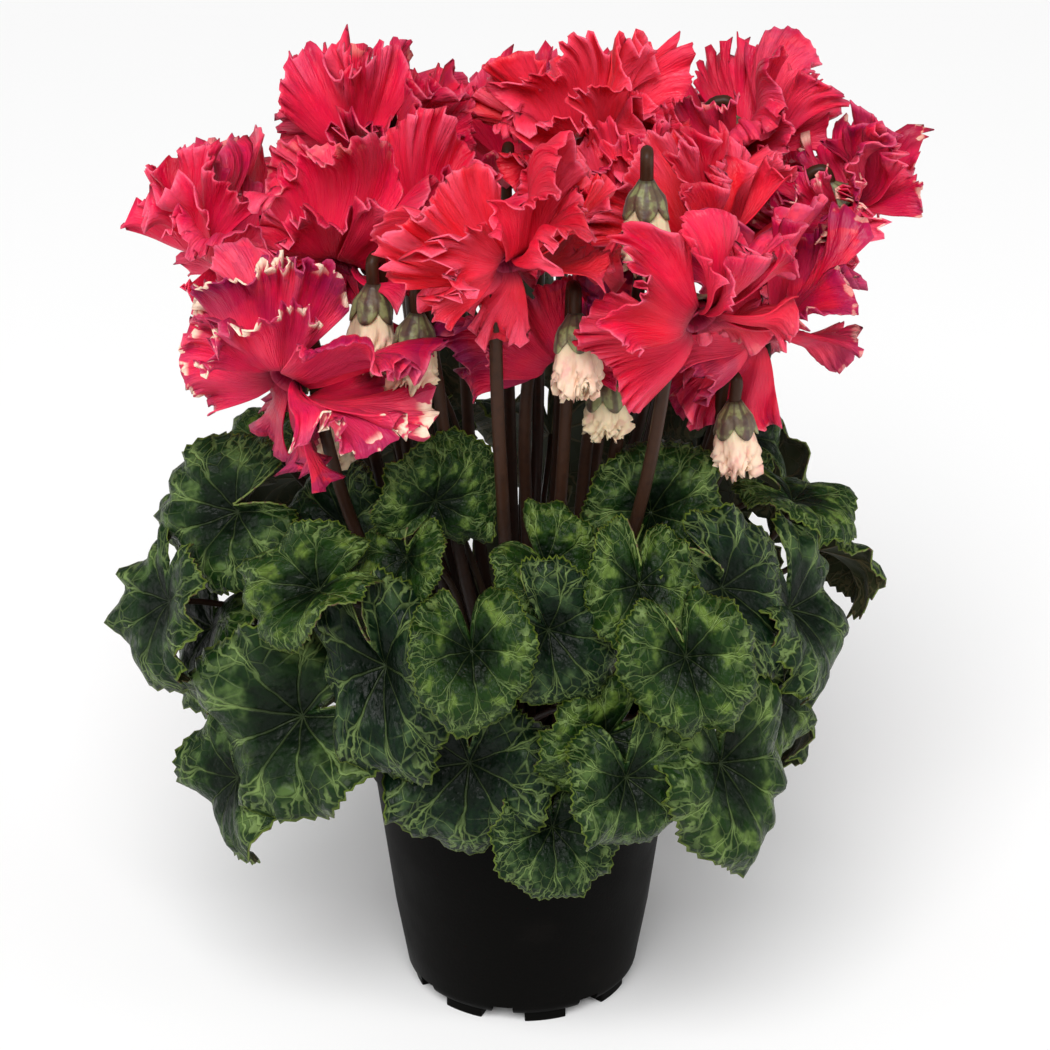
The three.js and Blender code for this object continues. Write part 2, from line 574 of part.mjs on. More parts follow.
// A corolla is one closed skin: five petals, each with an inner and an outer face, that grow out of
// the rim of a short throat.
function makeCorolla(flower) {
  const axes = flowerAxes(flower);
  const half = radians(PETAL_HALF_ANGLE);
  const perPetal = PETAL_ROWS.reduce((sum, { count }) => sum + count, 0);
  const inner = [];
  const outer = [];
  for (let petal = 0; petal < PETAL_COUNT; petal += 1) {
    PETAL_ROWS.forEach(({ share, count }) => {
      for (let i = 0; i < count; i += 1) {
        const angle = half * ((2 * i) / (count - 1) - 1);
        const reach = share === 1 ? 1 + (i % 2 ? 0.05 : -0.05) : share;
        inner.push(petalPoint(flower, axes, petal, angle, reach, PETAL_THICKNESS / 2));
        outer.push(petalPoint(flower, axes, petal, angle, reach, -PETAL_THICKNESS / 2));
      }
    });
  }
  const total = inner.length;
  const faces = [];
  for (let petal = 0; petal < PETAL_COUNT; petal += 1) {
    petalFaces().forEach(([a, b, c]) => {
      const [i, j, k] = [a, b, c].map((index) => index + petal * perPetal);
      faces.push([i, j, k], [i + total, k + total, j + total]);
    });
    const rim = petalRim().map((index) => index + petal * perPetal);
    for (let i = 0; i + 1 < rim.length; i += 1) {
      const [a, b] = [rim[i], rim[i + 1]];
      faces.push([a + total, b + total, b], [a + total, b, a]);
    }
  }
  // The throat: its mouth between the petals' feet, its wall and its flat back on the calyx.
  const feet = Array.from({ length: 2 * PETAL_COUNT }, (_, i) => Math.floor(i / 2) * perPetal + (i % 2));
  const neck = place(flower.turn, flower.reach, flower.height);
  const back = Array.from({ length: PETAL_COUNT }, (_, petal) => {
    const spoke = outer[feet[2 * petal]].clone().add(outer[feet[2 * petal + 1]]).divideScalar(2).sub(neck);
    spoke.addScaledVector(axes.mouth, -spoke.dot(axes.mouth)).setLength(THROAT_RADIUS - 0.6);
    return spoke.add(neck).addScaledVector(axes.mouth, GAP);
  });
  feet.forEach((a, i) => {
    const next = (i + 1) % feet.length;
    const b = feet[next];
    const [from, to] = [i, next].map((foot) => 2 * total + Math.floor(foot / 2));
    faces.push([b + total, a + total, from]);
    if (i % 2) faces.push([a, a + total, b + total], [a, b + total, b], [b + total, from, to]);
    if (i > 0 && next > 0) faces.push([feet[0], a, b]);
  });
  for (let k = 1; k + 1 < PETAL_COUNT; k += 1) faces.push([2 * total, 2 * total + k + 1, 2 * total + k]);
  return hull([...inner, ...outer, ...back], faces);
}

// The triangles of one petal's inner face.
function petalFaces() {
  const faces = [];
  let start = 0;
  for (let row = 0; row + 1 < PETAL_ROWS.length; row += 1) {
    const next = start + PETAL_ROWS[row].count;
    stitch(start, PETAL_ROWS[row].count, next, PETAL_ROWS[row + 1].count, faces);
    start = next;
  }
  return faces;
}

// One petal's edge, from one end of its foot round to the other.
function petalRim() {
  const before = (row) => PETAL_ROWS.slice(0, row).reduce((sum, { count }) => sum + count, 0);
  const starts = PETAL_ROWS.map((_, row) => before(row));
  const ends = PETAL_ROWS.map(({ count }, row) => starts[row] + count - 1);
  const last = PETAL_ROWS.length - 1;
  const margin = Array.from({ length: PETAL_ROWS[last].count }, (_, i) => starts[last] + i);
  return [...starts.slice(0, last), ...margin, ...ends.slice(0, last).reverse()];
}

// Triangles between a row of few points and the next row of more.
function stitch(low, lowCount, high, highCount, triangles) {
  let i = 0;
  let j = 0;
  while (i < lowCount - 1 || j < highCount - 1) {
    const lowNext = (i + 1) / (lowCount - 1);
    const highNext = (j + 1) / (highCount - 1);
    if (j < highCount - 1 && (highNext <= lowNext || i === lowCount - 1)) {
      triangles.push([low + i, high + j, high + j + 1]);
      j += 1;
    } else {
      triangles.push([low + i, high + j, low + i + 1]);
      i += 1;
    }
  }
}

// Rings of a bud's furled petals, as shares of its length, radii and depths of their flutes.
const BUD_RINGS = [
  { along: 0, radius: 6.6, flute: 0.08 },
  { along: 0.35, radius: 7.6, flute: 0.14 },
  { along: 0.75, radius: 6.2, flute: 0.24 },
  { along: 1, radius: 4.2, flute: 0.36 },
];

// A bud's furled petals: fluted and twisted, with a crumpled end.
function makeBudPetals(bud) {
  const axes = flowerAxes(bud);
  const neck = place(bud.turn, bud.reach, bud.height);
  const around = 8;
  const points = BUD_RINGS.flatMap(({ along, radius, flute }) =>
    Array.from({ length: around }, (_, k) => {
      const angle = (2 * Math.PI * k) / around + BUD_TWIST * along;
      const wide = radius * (1 + (k % 2 ? flute : -flute));
      return neck
        .clone()
        .addScaledVector(axes.mouth, BUD_CALYX_LENGTH + GAP + along * bud.length)
        .addScaledVector(axes.back, wide * Math.cos(angle))
        .addScaledVector(axes.across, wide * Math.sin(angle));
    }),
  );
  return tube(points, around);
}

// A stalk leans out from the corm, rises and hooks over to the neck of its flower or bud.
function stalkPoints(flower) {
  const { mouth } = flowerAxes(flower);
  const neck = place(flower.turn, flower.reach, flower.height);
  const root = place(flower.turn, 4 + 9 * draw(flower.number + 40), CORM_CENTRE + 6);
  const shoulder = neck.clone().addScaledVector(outward(flower.face), -HOOK).addScaledVector(UP, -HOOK - 2);
  const middle = root.clone().lerp(shoulder, 0.68).setZ(root.z + 0.5 * (shoulder.z - root.z));
  return [root, middle, shoulder, neck.clone().addScaledVector(mouth, 1 - HOOK).addScaledVector(UP, 1)];
}

// A stalk widens at its end into the calyx, given as distances from the neck and radii.
function makeStalk(flower, calyx) {
  const { mouth } = flowerAxes(flower);
  const neck = place(flower.turn, flower.reach, flower.height);
  const line = stalkPoints(flower);
  const radii = line.map(() => STALK_RADIUS);
  calyx.forEach(([distance, radius]) => {
    line.push(neck.clone().addScaledVector(mouth, distance));
    radii.push(radius);
  });
  return tube(ringsAlong(line, radii, STALK_SIDES, outward(flower.turn)), STALK_SIDES);
}

const FLOWER_CALYX = [[-CALYX_LENGTH, 3.2], [0, 5.4]];
const BUD_CALYX = [[-2, 3.4], [4, 7.8], [BUD_CALYX_LENGTH, 7.4]];

function makeCorm() {
  return fuse([
    cormShape(),
    ...FLOWERS.map((flower) => makeStalk(flower, FLOWER_CALYX)),
    ...BUDS.map((bud) => makeStalk({ ...bud, number: bud.number + 30 }, BUD_CALYX)),
  ]);
}

// The plant, piece by piece

const finish = {
  pot: { color: 0x1c1a1a, roughness: 0.55 },
  soil: { color: 0x2a1d14, roughness: 1 },
  stalk: { color: 0x4a2a1e, roughness: 0.6 },
  leaf: { color: 0x2f5a2c, roughness: 0.5 },
  petal: { color: 0xe0204a, roughness: 0.6 },
  bud: { color: 0xf0d9b4, roughness: 0.7 },
};

const plant = new THREE.Group();

function put(name, shape, look) {
  const mesh = new THREE.Mesh(geometryOf(shape), new THREE.MeshStandardMaterial({ metalness: 0, ...look }));
  mesh.name = name;
  plant.add(mesh);
}

put("pot", makePot(), finish.pot);
put("soil", makeSoil(), finish.soil);
put("corm_and_stalks", makeCorm(), finish.stalk);
LEAVES.filter((leaf) => !leaf.joins).forEach((leaf) => put(`leaf_${leaf.name}`, makeLeaf(leaf), finish.leaf));
FLOWERS.forEach((flower) => put(`flower_${flower.name}`, makeCorolla(flower), finish.petal));
BUDS.forEach((bud) => put(`bud_${bud.name}`, makeBudPetals(bud), finish.bud));

export default plant;
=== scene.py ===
# %% [markdown]
# # A potted cyclamen with fringed flowers
#
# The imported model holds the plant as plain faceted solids: a pot, its soil, the corm with all its
# stalks, the leaves, the flowers and the buds. This lesson dresses each of them with a finer piece
# of the same form, and gives every surface a finish made of nodes. All lengths are in millimetres
# until a mesh is written, and the plant's front looks along -Y.

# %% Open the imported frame
import math
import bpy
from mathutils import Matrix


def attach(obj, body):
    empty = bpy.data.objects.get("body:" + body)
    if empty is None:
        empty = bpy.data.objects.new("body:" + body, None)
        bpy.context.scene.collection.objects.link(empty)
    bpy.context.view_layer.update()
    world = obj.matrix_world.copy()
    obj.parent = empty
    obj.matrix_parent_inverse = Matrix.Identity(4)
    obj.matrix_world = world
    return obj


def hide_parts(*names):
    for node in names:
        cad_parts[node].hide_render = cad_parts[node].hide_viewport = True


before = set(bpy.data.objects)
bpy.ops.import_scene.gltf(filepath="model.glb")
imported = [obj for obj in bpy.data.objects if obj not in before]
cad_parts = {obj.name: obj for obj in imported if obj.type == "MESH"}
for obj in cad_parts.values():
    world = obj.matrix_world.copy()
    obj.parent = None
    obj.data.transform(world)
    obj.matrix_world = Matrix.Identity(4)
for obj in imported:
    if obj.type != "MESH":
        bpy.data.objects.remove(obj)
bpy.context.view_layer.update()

from types import SimpleNamespace

import bpy
import numpy as np
from mathutils import Matrix, Vector

MM = 0.001
UP = np.array([0.0, 0.0, 1.0])

# %% [markdown]
# ## Places and repeatable draws
#
# A plant has no two leaves alike, and yet the scene has to come out the same each time. Every
# draw is therefore worked out from a number that stands for its leaf or petal. A turn of 0
# degrees looks to the front and 90 to the right, as on the solids.

# %% Directions, places and draws
DRAW_STEP = 12.9898
DRAW_SPREAD = 43758.5453


def draw(number):
    """A repeatable draw from 0 to 1 for a number, or one for each of many."""
    value = np.sin(number * DRAW_STEP) * DRAW_SPREAD
    return value - np.floor(value)


def outward(turn):
    """The level direction at a turn round the pot."""
    return np.array([math.sin(math.radians(turn)), -math.cos(math.radians(turn)), 0.0])


def place(turn, reach, height):
    """A point at a turn, a distance from the pot's axis and a height."""
    return outward(turn) * reach + UP * height


def end_of(row):
    """Where the stem of a leaf, or the stalk of a flower or a bud, ends."""
    return place(row.turn, row.reach, row.height)


def smooth(values, low, high):
    """0 below low, 1 above high, and an even slope between them."""
    t = np.clip((values - low) / (high - low), 0, 1)
    return t * t * (3 - 2 * t)


def outer(factors, direction):
    """One copy of a direction for each factor."""
    return np.multiply.outer(factors, direction)


print("the first draws are", [round(float(draw(number)), 3) for number in (1, 2, 3)])

# %% [markdown]
# ## Three ways to make a mesh
#
# Leaves, petals and sepals are thin sheets. A sheet starts as a flat grid, its points are moved
# by a formula for the living surface, doubles are merged where the grid closes on itself, and the
# Solidify modifier gives it its thickness. Stems and stalks are Bezier curves with a round
# profile, made into meshes. Turned things such as the pot start as a disc that is extruded ring
# by ring. All of them end as plain meshes that sit at the origin.


# %% Points and marks of a mesh
def points_of(piece):
    points = np.empty(len(piece.data.vertices) * 3, np.float32)
    piece.data.vertices.foreach_get("co", points)
    return points.reshape(-1, 3).astype(float)


def move_points(piece, points):
    piece.data.vertices.foreach_set("co", np.asarray(points, np.float32).ravel())
    piece.data.update()


def mark(piece, name, values):
    """Stores a number or a triple at each point, for the materials to read."""
    values = np.asarray(values, np.float32)
    kind, field = ("FLOAT", "value") if values.ndim == 1 else ("FLOAT_VECTOR", "vector")
    attribute = piece.data.attributes.new(name, kind, "POINT")
    attribute.data.foreach_set(field, values.ravel())


def deselect():
    bpy.ops.object.select_all(action="DESELECT")


def apply_modifier(piece, kind, **settings):
    bpy.context.view_layer.objects.active = piece
    modifier = piece.modifiers.new("step", kind)
    for name, value in settings.items():
        setattr(modifier, name, value)
    bpy.ops.object.modifier_apply(modifier="step")


def copy_of(piece):
    """A copy of a piece that has its own mesh."""
    twin = piece.copy()
    twin.data = piece.data.copy()
    bpy.context.collection.objects.link(twin)
    return twin


def join(pieces, name):
    """Joins finished meshes into one piece."""
    deselect()
    for piece in pieces:
        piece.select_set(True)
    bpy.context.view_layer.objects.active = pieces[0]
    bpy.ops.object.join()
    pieces[0].name = name
    return pieces[0]


print("ready to move and mark points, and to copy and join pieces")

# %% A thin sheet
WELD = 0.02  # mm; points that are closer than this become one


def sheet(shape, across, along, thickness, materials):
    """A grid whose points move to shape(u, v), with u from -1 to 1 and v from 0 to 1. shape also
    returns the marks that its materials read. The second material, if there is one, goes to the
    underside and the third to the edge."""
    deselect()
    bpy.ops.mesh.primitive_grid_add(x_subdivisions=across, y_subdivisions=along, size=2)
    piece = bpy.context.object
    for material in materials:
        piece.data.materials.append(material)
    flat = points_of(piece)
    points, marks = shape(flat[:, 0], (flat[:, 1] + 1) / 2)
    move_points(piece, points * MM)
    for name, values in marks.items():
        mark(piece, name, values)
    bpy.ops.object.mode_set(mode="EDIT")
    bpy.ops.mesh.select_all(action="SELECT")
    bpy.ops.mesh.remove_doubles(threshold=WELD * MM)
    bpy.ops.object.mode_set(mode="OBJECT")
    last = len(materials) - 1
    apply_modifier(
        piece,
        "SOLIDIFY",
        thickness=thickness * MM,
        offset=0,
        material_offset=min(1, last),
        material_offset_rim=last,
    )
    bpy.ops.object.shade_smooth()
    return piece


print("a sheet's points merge when they are closer than", WELD, "mm")


# %% A round stem
def stem(knots, radii, material, sides, steps, handles=None):
    """A tube along a smooth curve through knots, or with the given handles at its two ends."""
    deselect()
    bpy.ops.curve.primitive_bezier_curve_add()
    path = bpy.context.object
    spline = path.data.splines[0]
    spline.bezier_points.add(len(knots) - 2)
    for point, knot, radius in zip(spline.bezier_points, knots, radii):
        point.handle_left_type = point.handle_right_type = "AUTO"
        point.co = Vector(knot) * MM
        point.radius = radius
    if handles is not None:
        for point, handle in zip(spline.bezier_points, handles):
            point.handle_left_type = point.handle_right_type = "FREE"
            point.handle_left = point.handle_right = Vector(handle) * MM
    path.data.bevel_depth = MM
    path.data.bevel_resolution = (sides - 4) // 2
    path.data.resolution_u = steps
    path.data.use_fill_caps = True
    bpy.ops.object.convert(target="MESH")
    tube = bpy.context.object
    tube.data.materials.append(material)
    bpy.ops.object.shade_smooth()
    return tube


print("ready to grow round stems")


# %% A turned solid
def turned(profile, material, segments):
    """A solid of revolution about the pot's axis, from radius and height pairs."""
    deselect()
    radius, height = profile[0]
    bpy.ops.mesh.primitive_circle_add(
        vertices=segments, radius=radius * MM, fill_type="NGON", location=(0, 0, height * MM)
    )
    piece = bpy.context.object
    bpy.ops.object.transform_apply(location=True)
    bpy.ops.object.mode_set(mode="EDIT")
    bpy.ops.mesh.select_all(action="SELECT")
    for next_radius, next_height in profile[1:]:
        rise = (0, 0, (next_height - height) * MM)
        bpy.ops.mesh.extrude_region_move(TRANSFORM_OT_translate={"value": rise})
        grow = next_radius / radius
        bpy.ops.transform.resize(value=(grow, grow, 1))
        radius, height = next_radius, next_height
    bpy.ops.mesh.select_all(action="SELECT")
    bpy.ops.mesh.normals_make_consistent(inside=False)
    bpy.ops.object.mode_set(mode="OBJECT")
    piece.data.materials.append(material)
    return piece


print("ready to turn solids")

# %% [markdown]
# ## Painting with sums
#
# A pattern on a leaf is easiest to read as arithmetic: how far a point lies from a vein, how far
# out towards the margin it is. The small class below stands for one socket of a material, and
# adding or multiplying two of them adds the Math nodes. Every other node comes from the one
# method of Paint, which takes the node's type, its settings and its inputs.


# %% Sockets that add up
class Value:
    """An output socket of a material under work."""

    def __init__(self, paint, socket):
        self.paint = paint
        self.socket = socket

    def _math(self, operation, *others):
        inputs = dict(enumerate((self, *others)))
        return self.paint.node("ShaderNodeMath", {"operation": operation}, inputs)

    def __add__(self, other):
        return self._math("ADD", other)

    __radd__ = __add__

    def __sub__(self, other):
        return self._math("SUBTRACT", other)

    def __rsub__(self, other):
        return self * -1 + other

    def __mul__(self, other):
        return self._math("MULTIPLY", other)

    __rmul__ = __mul__

    def __abs__(self):
        return self._math("ABSOLUTE")

    def fold(self, half):
        """A zigzag that is 0 at each even multiple of half and half at each odd one."""
        return self._math("PINGPONG", half)

    def smooth(self, low, high, start=0.0, end=1.0):
        """start below low, end above high, and an even slope between them."""
        inputs = {"Value": self, "From Min": low, "From Max": high, "To Min": start, "To Max": end}
        return self.paint.node("ShaderNodeMapRange", {"interpolation_type": "SMOOTHSTEP"}, inputs)

    def most(self, other):
        return self._math("MAXIMUM", other)

    def angle_from(self, other):
        """The turn, in radians, of a point that lies this far across and other far along."""
        return self._math("ARCTAN2", other)


print("sockets add up, multiply and fold")


# %% A material under work
# A Mix node has its sockets three times over, for numbers, vectors and colours. These are the
# places of the two colours that go in and of the one that comes out.
LOW_COLOUR, HIGH_COLOUR, MIXED_COLOUR = 6, 7, 2


class Paint:
    """A new material, with its Principled shader at hand."""

    def __init__(self, name, **constants):
        self.material = bpy.data.materials.new(name)
        self.material.use_nodes = True
        self.tree = self.material.node_tree
        self.shader = self.tree.nodes["Principled BSDF"]
        for socket, value in constants.items():
            self.shader.inputs[socket.replace("_", " ")].default_value = value

    def node(self, kind, settings=None, inputs=None, output=0):
        """Adds a node, makes its settings, fills or links its inputs and returns one output."""
        node = self.tree.nodes.new(kind)
        for name, value in (settings or {}).items():
            if name == "stops":
                self._stops(node.color_ramp, value)
            else:
                setattr(node, name, value)
        for name, value in (inputs or {}).items():
            self._feed(node.inputs[name], value)
        return Value(self, node.outputs[output])

    def _stops(self, ramp, stops):
        while len(ramp.elements) < len(stops):
            ramp.elements.new(0.5)
        for element, (position, colour) in zip(ramp.elements, stops):
            element.position = position
            element.color = colour

    def _feed(self, socket, value):
        if isinstance(value, Value):
            self.tree.links.new(value.socket, socket)
        else:
            socket.default_value = value

    def set(self, name, value):
        self._feed(self.shader.inputs[name], value)

    def read(self, name, output="Vector"):
        """A mark that the piece's points carry."""
        return self.node("ShaderNodeAttribute", {"attribute_name": name}, output=output)

    def on_plant(self):
        """The point's place on the plant, in metres."""
        return self.node("ShaderNodeTexCoord", output="Object")

    def vector(self, x, y, z):
        return self.node("ShaderNodeCombineXYZ", inputs={"X": x, "Y": y, "Z": z})

    def parts(self, vector):
        """The three numbers of a vector."""
        split = self.node("ShaderNodeSeparateXYZ", inputs={"Vector": vector})
        return [Value(self, output) for output in split.socket.node.outputs]

    def noise(self, vector, scale, detail=3.0):
        inputs = {"Vector": vector, "Scale": scale, "Detail": detail}
        return self.node("ShaderNodeTexNoise", inputs=inputs)

    def mix(self, factor, low, high):
        """The colour low where factor is 0, and high where it is 1."""
        settings = {"data_type": "RGBA"}
        inputs = {"Factor": factor, LOW_COLOUR: low, HIGH_COLOUR: high}
        return self.node("ShaderNodeMix", settings, inputs, output=MIXED_COLOUR)

    def ramp(self, factor, stops):
        return self.node("ShaderNodeValToRGB", {"stops": stops}, {"Fac": factor})

    def bump(self, height, distance):
        """Small relief: distance is how deep it looks, in metres."""
        inputs = {"Height": height, "Distance": distance}
        self.set("Normal", self.node("ShaderNodeBump", inputs=inputs))


def rgb(red, green, blue):
    """A colour from the 0 to 255 values that a screen shows."""
    shares = (red / 255, green / 255, blue / 255)
    linear = [s / 12.92 if s <= 0.04045 else ((s + 0.055) / 1.055) ** 2.4 for s in shares]
    return (*linear, 1.0)


print("ready to paint")

# %% [markdown]
# ## The leaf as a formula
#
# A cyclamen leaf is a round heart on a fleshy stem. It dips where the stem meets it, its margin
# rolls down and waves, and fine teeth run all round it. The blade is worked out in polar form: an
# angle from the tip and a share of the way to the margin give a point of the flat heart, and a
# height over it. The flat heart is then bowed towards its tip and turned to face its own way.

# %% The blade's outline and directions
VEIN_COUNT = 9
SECTOR = 2 * math.pi / VEIN_COUNT


def outline(phi):
    """The heart's outline as a share of the leaf's size, at an angle from the tip: nearly round,
    with a slight point at its tip and a deep notch where the stem meets it."""
    tip = 0.1 * np.exp(-((phi / 0.4) ** 2))
    notch = 0.76 * np.exp(-(((math.pi - np.abs(phi)) / 0.24) ** 2))
    return (0.86 + 0.04 * np.cos(phi) + tip) * (1 - notch)


def blade_axes(leaf):
    """Along to the tip, across, and out of the upper face."""
    out = outward(leaf.face)
    tilt, spin = math.radians(leaf.droop), math.radians(leaf.spin)
    normal = UP * math.cos(tilt) + out * math.sin(tilt)
    down = out * math.cos(tilt) - UP * math.sin(tilt)
    along = down * math.cos(spin) + np.cross(normal, down) * math.sin(spin)
    return along, np.cross(normal, along), normal


print("a leaf has", VEIN_COUNT, "main veins")

# %% The blade's relief
# Heights and lengths are shares of the leaf's size. The relief grows towards the margin and is
# calmer at the tip, which would otherwise curl into a hook.
VEIN_DEPTH = 0.022
VEIN_HALF_WIDTH = 0.06
QUILT_HEIGHT = 0.012
CRIMP_HEIGHT = 0.085
FRILL_HEIGHT = 0.018


def puckers(leaf, phi, share):
    """What the blade rises over its broad form: sunk veins, quilting and a crimped margin."""
    seed = leaf.number
    to_vein = np.abs((phi / SECTOR + 0.5) % 1 - 0.5) * SECTOR * share
    groove = np.exp(-((to_vein / VEIN_HALF_WIDTH) ** 2))
    sunk = -VEIN_DEPTH * groove * smooth(share, 0.08, 0.3)
    rows = np.sin(17 * share + 6 * draw(seed + 2)) * np.sin(VEIN_COUNT * phi + 3 * share)
    quilt = QUILT_HEIGHT * smooth(share, 0.25, 0.6) * rows
    warp = 0.12 * np.sin(2 * phi + 6 * draw(seed + 5)) + 0.1 * np.sin(3 * phi + 6 * draw(seed + 6))
    swing = 9 * phi + 2 * np.sin(2 * phi + seed) + 6 * draw(seed + 3)
    crimp = CRIMP_HEIGHT * share**3 * np.sin(swing)
    frill = FRILL_HEIGHT * share**6 * np.sin(23 * phi + 6 * draw(seed + 4))
    tip = 0.7 * np.exp(-((phi / 0.45) ** 2)) * smooth(share, 0.4, 0.9)
    return sunk + quilt + (warp * share**2 + crimp + frill) * (1 - tip)


print("the margin's crimps rise to", CRIMP_HEIGHT, "of a leaf's size")

# %% Fuller, smaller and paler leaves
# A fine leaf is a little fuller than its solid, and its relief is bolder. The leaves that are
# fitted one by one keep the plain relief: smaller where they crowd, larger where they close a gap.
FRONT_TURN = 97
FULLNESS = 1.02
BACK_FULLNESS = 1.12
RELIEF = 1.35
FITTED = {
    "a1": 0.9, "a3": 0.92, "a5": 1.18, "a8": 0.95, "a13": 0.93,
    "b4": 0.95, "b8": 0.96, "b11": 0.9, "b13": 1.05, "b14": 1.08, "b16": 0.88,
    "c3": 1.12, "c4": 1.2, "c5": 0.97, "c10": 0.95,
}
# How light, yellow-green and silvery a leaf is, from 0 to 1, where the real plant shows it
# clearly. This is partly the leaf's own colour and partly painted light and shade: a lit leaf is
# made lighter and one in the plant's shade darker.
TONES = {
    "a1": 1, "a2": 1, "a3": 0.85, "a4": 0.6,
    "b1": 1, "b2": 0.5, "b5": 0.9, "b6": 0.1, "b7": 0.9, "b9": 0.2,
    "c1": 0, "c2": 0.5, "c5": 0, "c7": 0.5, "c8": 0.3, "c9": 0.7,
}


def in_front(turn):
    """Whether a leaf at this turn is on the side that the camera meets."""
    return abs(turn) <= FRONT_TURN


print(len(FITTED), "leaves are fitted by hand and", len(TONES), "toned")

# %% The blade as a sheet
TOOTH_LENGTH = 0.022
LOBE_LENGTH = 0.034
UNEVENNESS = 0.032


def blade_shape(leaf, around):
    """The formula of one leaf's blade, for a sheet that is closed round its stem."""
    along, across, normal = blade_axes(leaf)
    seed = leaf.number
    fullness = FULLNESS if in_front(leaf.turn) else BACK_FULLNESS
    fullness *= FITTED.get(leaf.name, 1)
    relief = 1 if leaf.name in FITTED else RELIEF

    def shape(u, v):
        # The flat heart, with broad lobes, small teeth and an uneven outline.
        phi = -math.pi * (u + 0.12 * np.sin(math.pi * u))
        column = np.rint((u + 1) / 2 * around).astype(int) % around
        tooth = np.where(column % 2, 1, -1) * (0.6 + 0.8 * draw(column // 2 + 50 * seed))
        swing = leaf.teeth * (phi + math.pi) + 0.8 * np.sin(3 * phi + seed)
        lobes = -LOBE_LENGTH * np.cos(swing)
        share = v * (1 + v**4 * lobes + TOOTH_LENGTH * v**14 * tooth)
        uneven = np.sin(2 * phi + 6 * draw(seed + 8)) + np.sin(3 * phi + 6 * draw(seed + 9))
        r = fullness * share * outline(phi) * (1 + UNEVENNESS * v**2 * uneven)
        x, y = r * np.cos(phi), r * np.sin(phi) * leaf.slim
        # The height over it: a funnel, a rolled margin, waves, a fold and puckers.
        wave = leaf.wave * r**2 * np.sin(5 * phi + 2 * math.pi * draw(seed + 1))
        rim = np.minimum(r, 0.96)
        h = relief * (leaf.funnel * (2 * rim - rim**2) - leaf.roll * rim**4) + wave
        fold = leaf.fold + 0.2 * (draw(seed + 11) - 0.35)
        h += fold * np.abs(y) + puckers(leaf, phi, share)
        # Both are bowed towards the tip and turned to face the leaf's own way.
        bow = leaf.bend * x
        forward = np.sin(bow) / leaf.bend + h * np.sin(bow)
        rise = (np.cos(bow) - 1) / leaf.bend + h * np.cos(bow)
        blade = outer(forward, along) + outer(y, across) + outer(rise, normal)
        flat = np.stack([r * np.cos(phi), r * np.sin(phi), v], axis=1)
        # A listed tone is partly painted light and shade; the other leaves draw theirs at random.
        tone = TONES.get(leaf.name, draw(seed + 7))
        marks = {"blade": flat, "tone": np.full(len(u), tone)}
        return end_of(leaf) + leaf.size * blade, marks

    return shape


print("ready to shape blades")

# %% [markdown]
# ## The leaves' list
#
# Turn, reach and height place the end of a leaf's stem. Face is the turn that its upper side
# looks to, droop its tilt, and spin turns the tip away from straight down. These are the same
# numbers that the solids were made from, and so each fine leaf lies over its solid. Its habit
# follows where it isn't the usual one: how slim the heart is, how deep its funnel, how far its
# margin rolls, waves, folds or bends, its count of broad teeth, and the leaf that it springs from.

# %% One row for each leaf
USUAL_LEAF = {"slim": 1, "funnel": 0.3, "roll": 0.28, "wave": 0.09, "fold": 0, "bend": 0.5}
FRONT_TEETH = 10
BACK_TEETH = 8


def leaf_row(name, turn, reach, height, face, droop, spin, size, **habit):
    teeth = FRONT_TEETH if in_front(turn) else BACK_TEETH
    row = SimpleNamespace(**{**USUAL_LEAF, "teeth": teeth, "joins": None, **habit})
    row.name, row.turn, row.reach, row.height, row.size = name, turn, reach, height, size
    row.face, row.droop, row.spin = face, droop, spin
    return row


CROWN = [
    leaf_row("a1", -27, 101, 245, -27, 65, -14, 25),
    leaf_row("a2", 5, 104, 248, 11, 54, 33, 26),
    leaf_row("a3", 22, 123, 244, 10, 59, -2, 34, slim=0.8),
    leaf_row("a4", 35, 91, 258, -1, 65, 147, 30, funnel=0.4),
    leaf_row("a5", -22, 92, 268, 13, 98, 141, 25),
    leaf_row("a6", -53, 91, 244, -28, 66, -118, 31),
    leaf_row("a7", -92, 108, 256, -80, 30, 20, 28),
    leaf_row("a8", 78, 117, 241, 76, 12, -4, 30, bend=0.8),
    leaf_row("a9", 100, 98, 255, 70, 55, 169, 27, joins="a8"),
    leaf_row("a10", 146, 108, 257, 147, 54, 12, 36),
    leaf_row("a11", 174, 116, 274, 158, 55, 8, 36),
    leaf_row("a12", -152, 98, 266, -145, 60, -14, 37),
    leaf_row("a13", -121, 116, 256, -107, 55, -9, 34),
]
MIDDLE = [
    leaf_row("b1", -38, 130, 236, -34, 52, -50, 33, fold=0.4, slim=0.8),
    leaf_row("b2", -70, 125, 245, -32, 70, -59, 38, wave=0.13),
    leaf_row("b3", -88, 132, 238, -92, 44, 30, 30, joins="a7", wave=0.12),
    leaf_row("b4", -74, 154, 204, -61, 74, -3, 42),
    leaf_row("b5", -8, 138, 226, -2, 62, 8, 29, funnel=0.4),
    leaf_row("b6", 5, 120, 227, 10, 79, 39, 32),
    leaf_row("b7", 26, 146, 221, 5, 70, 14, 31),
    leaf_row("b8", 40, 124, 234, 40, 68, 35, 44, slim=0.76),
    leaf_row("b9", 58, 129, 212, 61, 62, 7, 40, joins="b8"),
    leaf_row("b10", 95, 131, 204, 109, 53, 20, 37, joins="a8"),
    leaf_row("b11", 117, 128, 215, 125, 64, -6, 40),
    leaf_row("b12", 145, 145, 206, 146, 62, 14, 41, joins="a10"),
    leaf_row("b13", 174, 132, 212, 176, 60, -10, 42, joins="a11"),
    leaf_row("b14", -153, 132, 210, -172, 73, 2, 41, joins="a12"),
    leaf_row("b15", -130, 134, 208, -132, 60, -8, 41, joins="a13"),
    leaf_row("b16", -109, 132, 204, -108, 66, 9, 40),
]
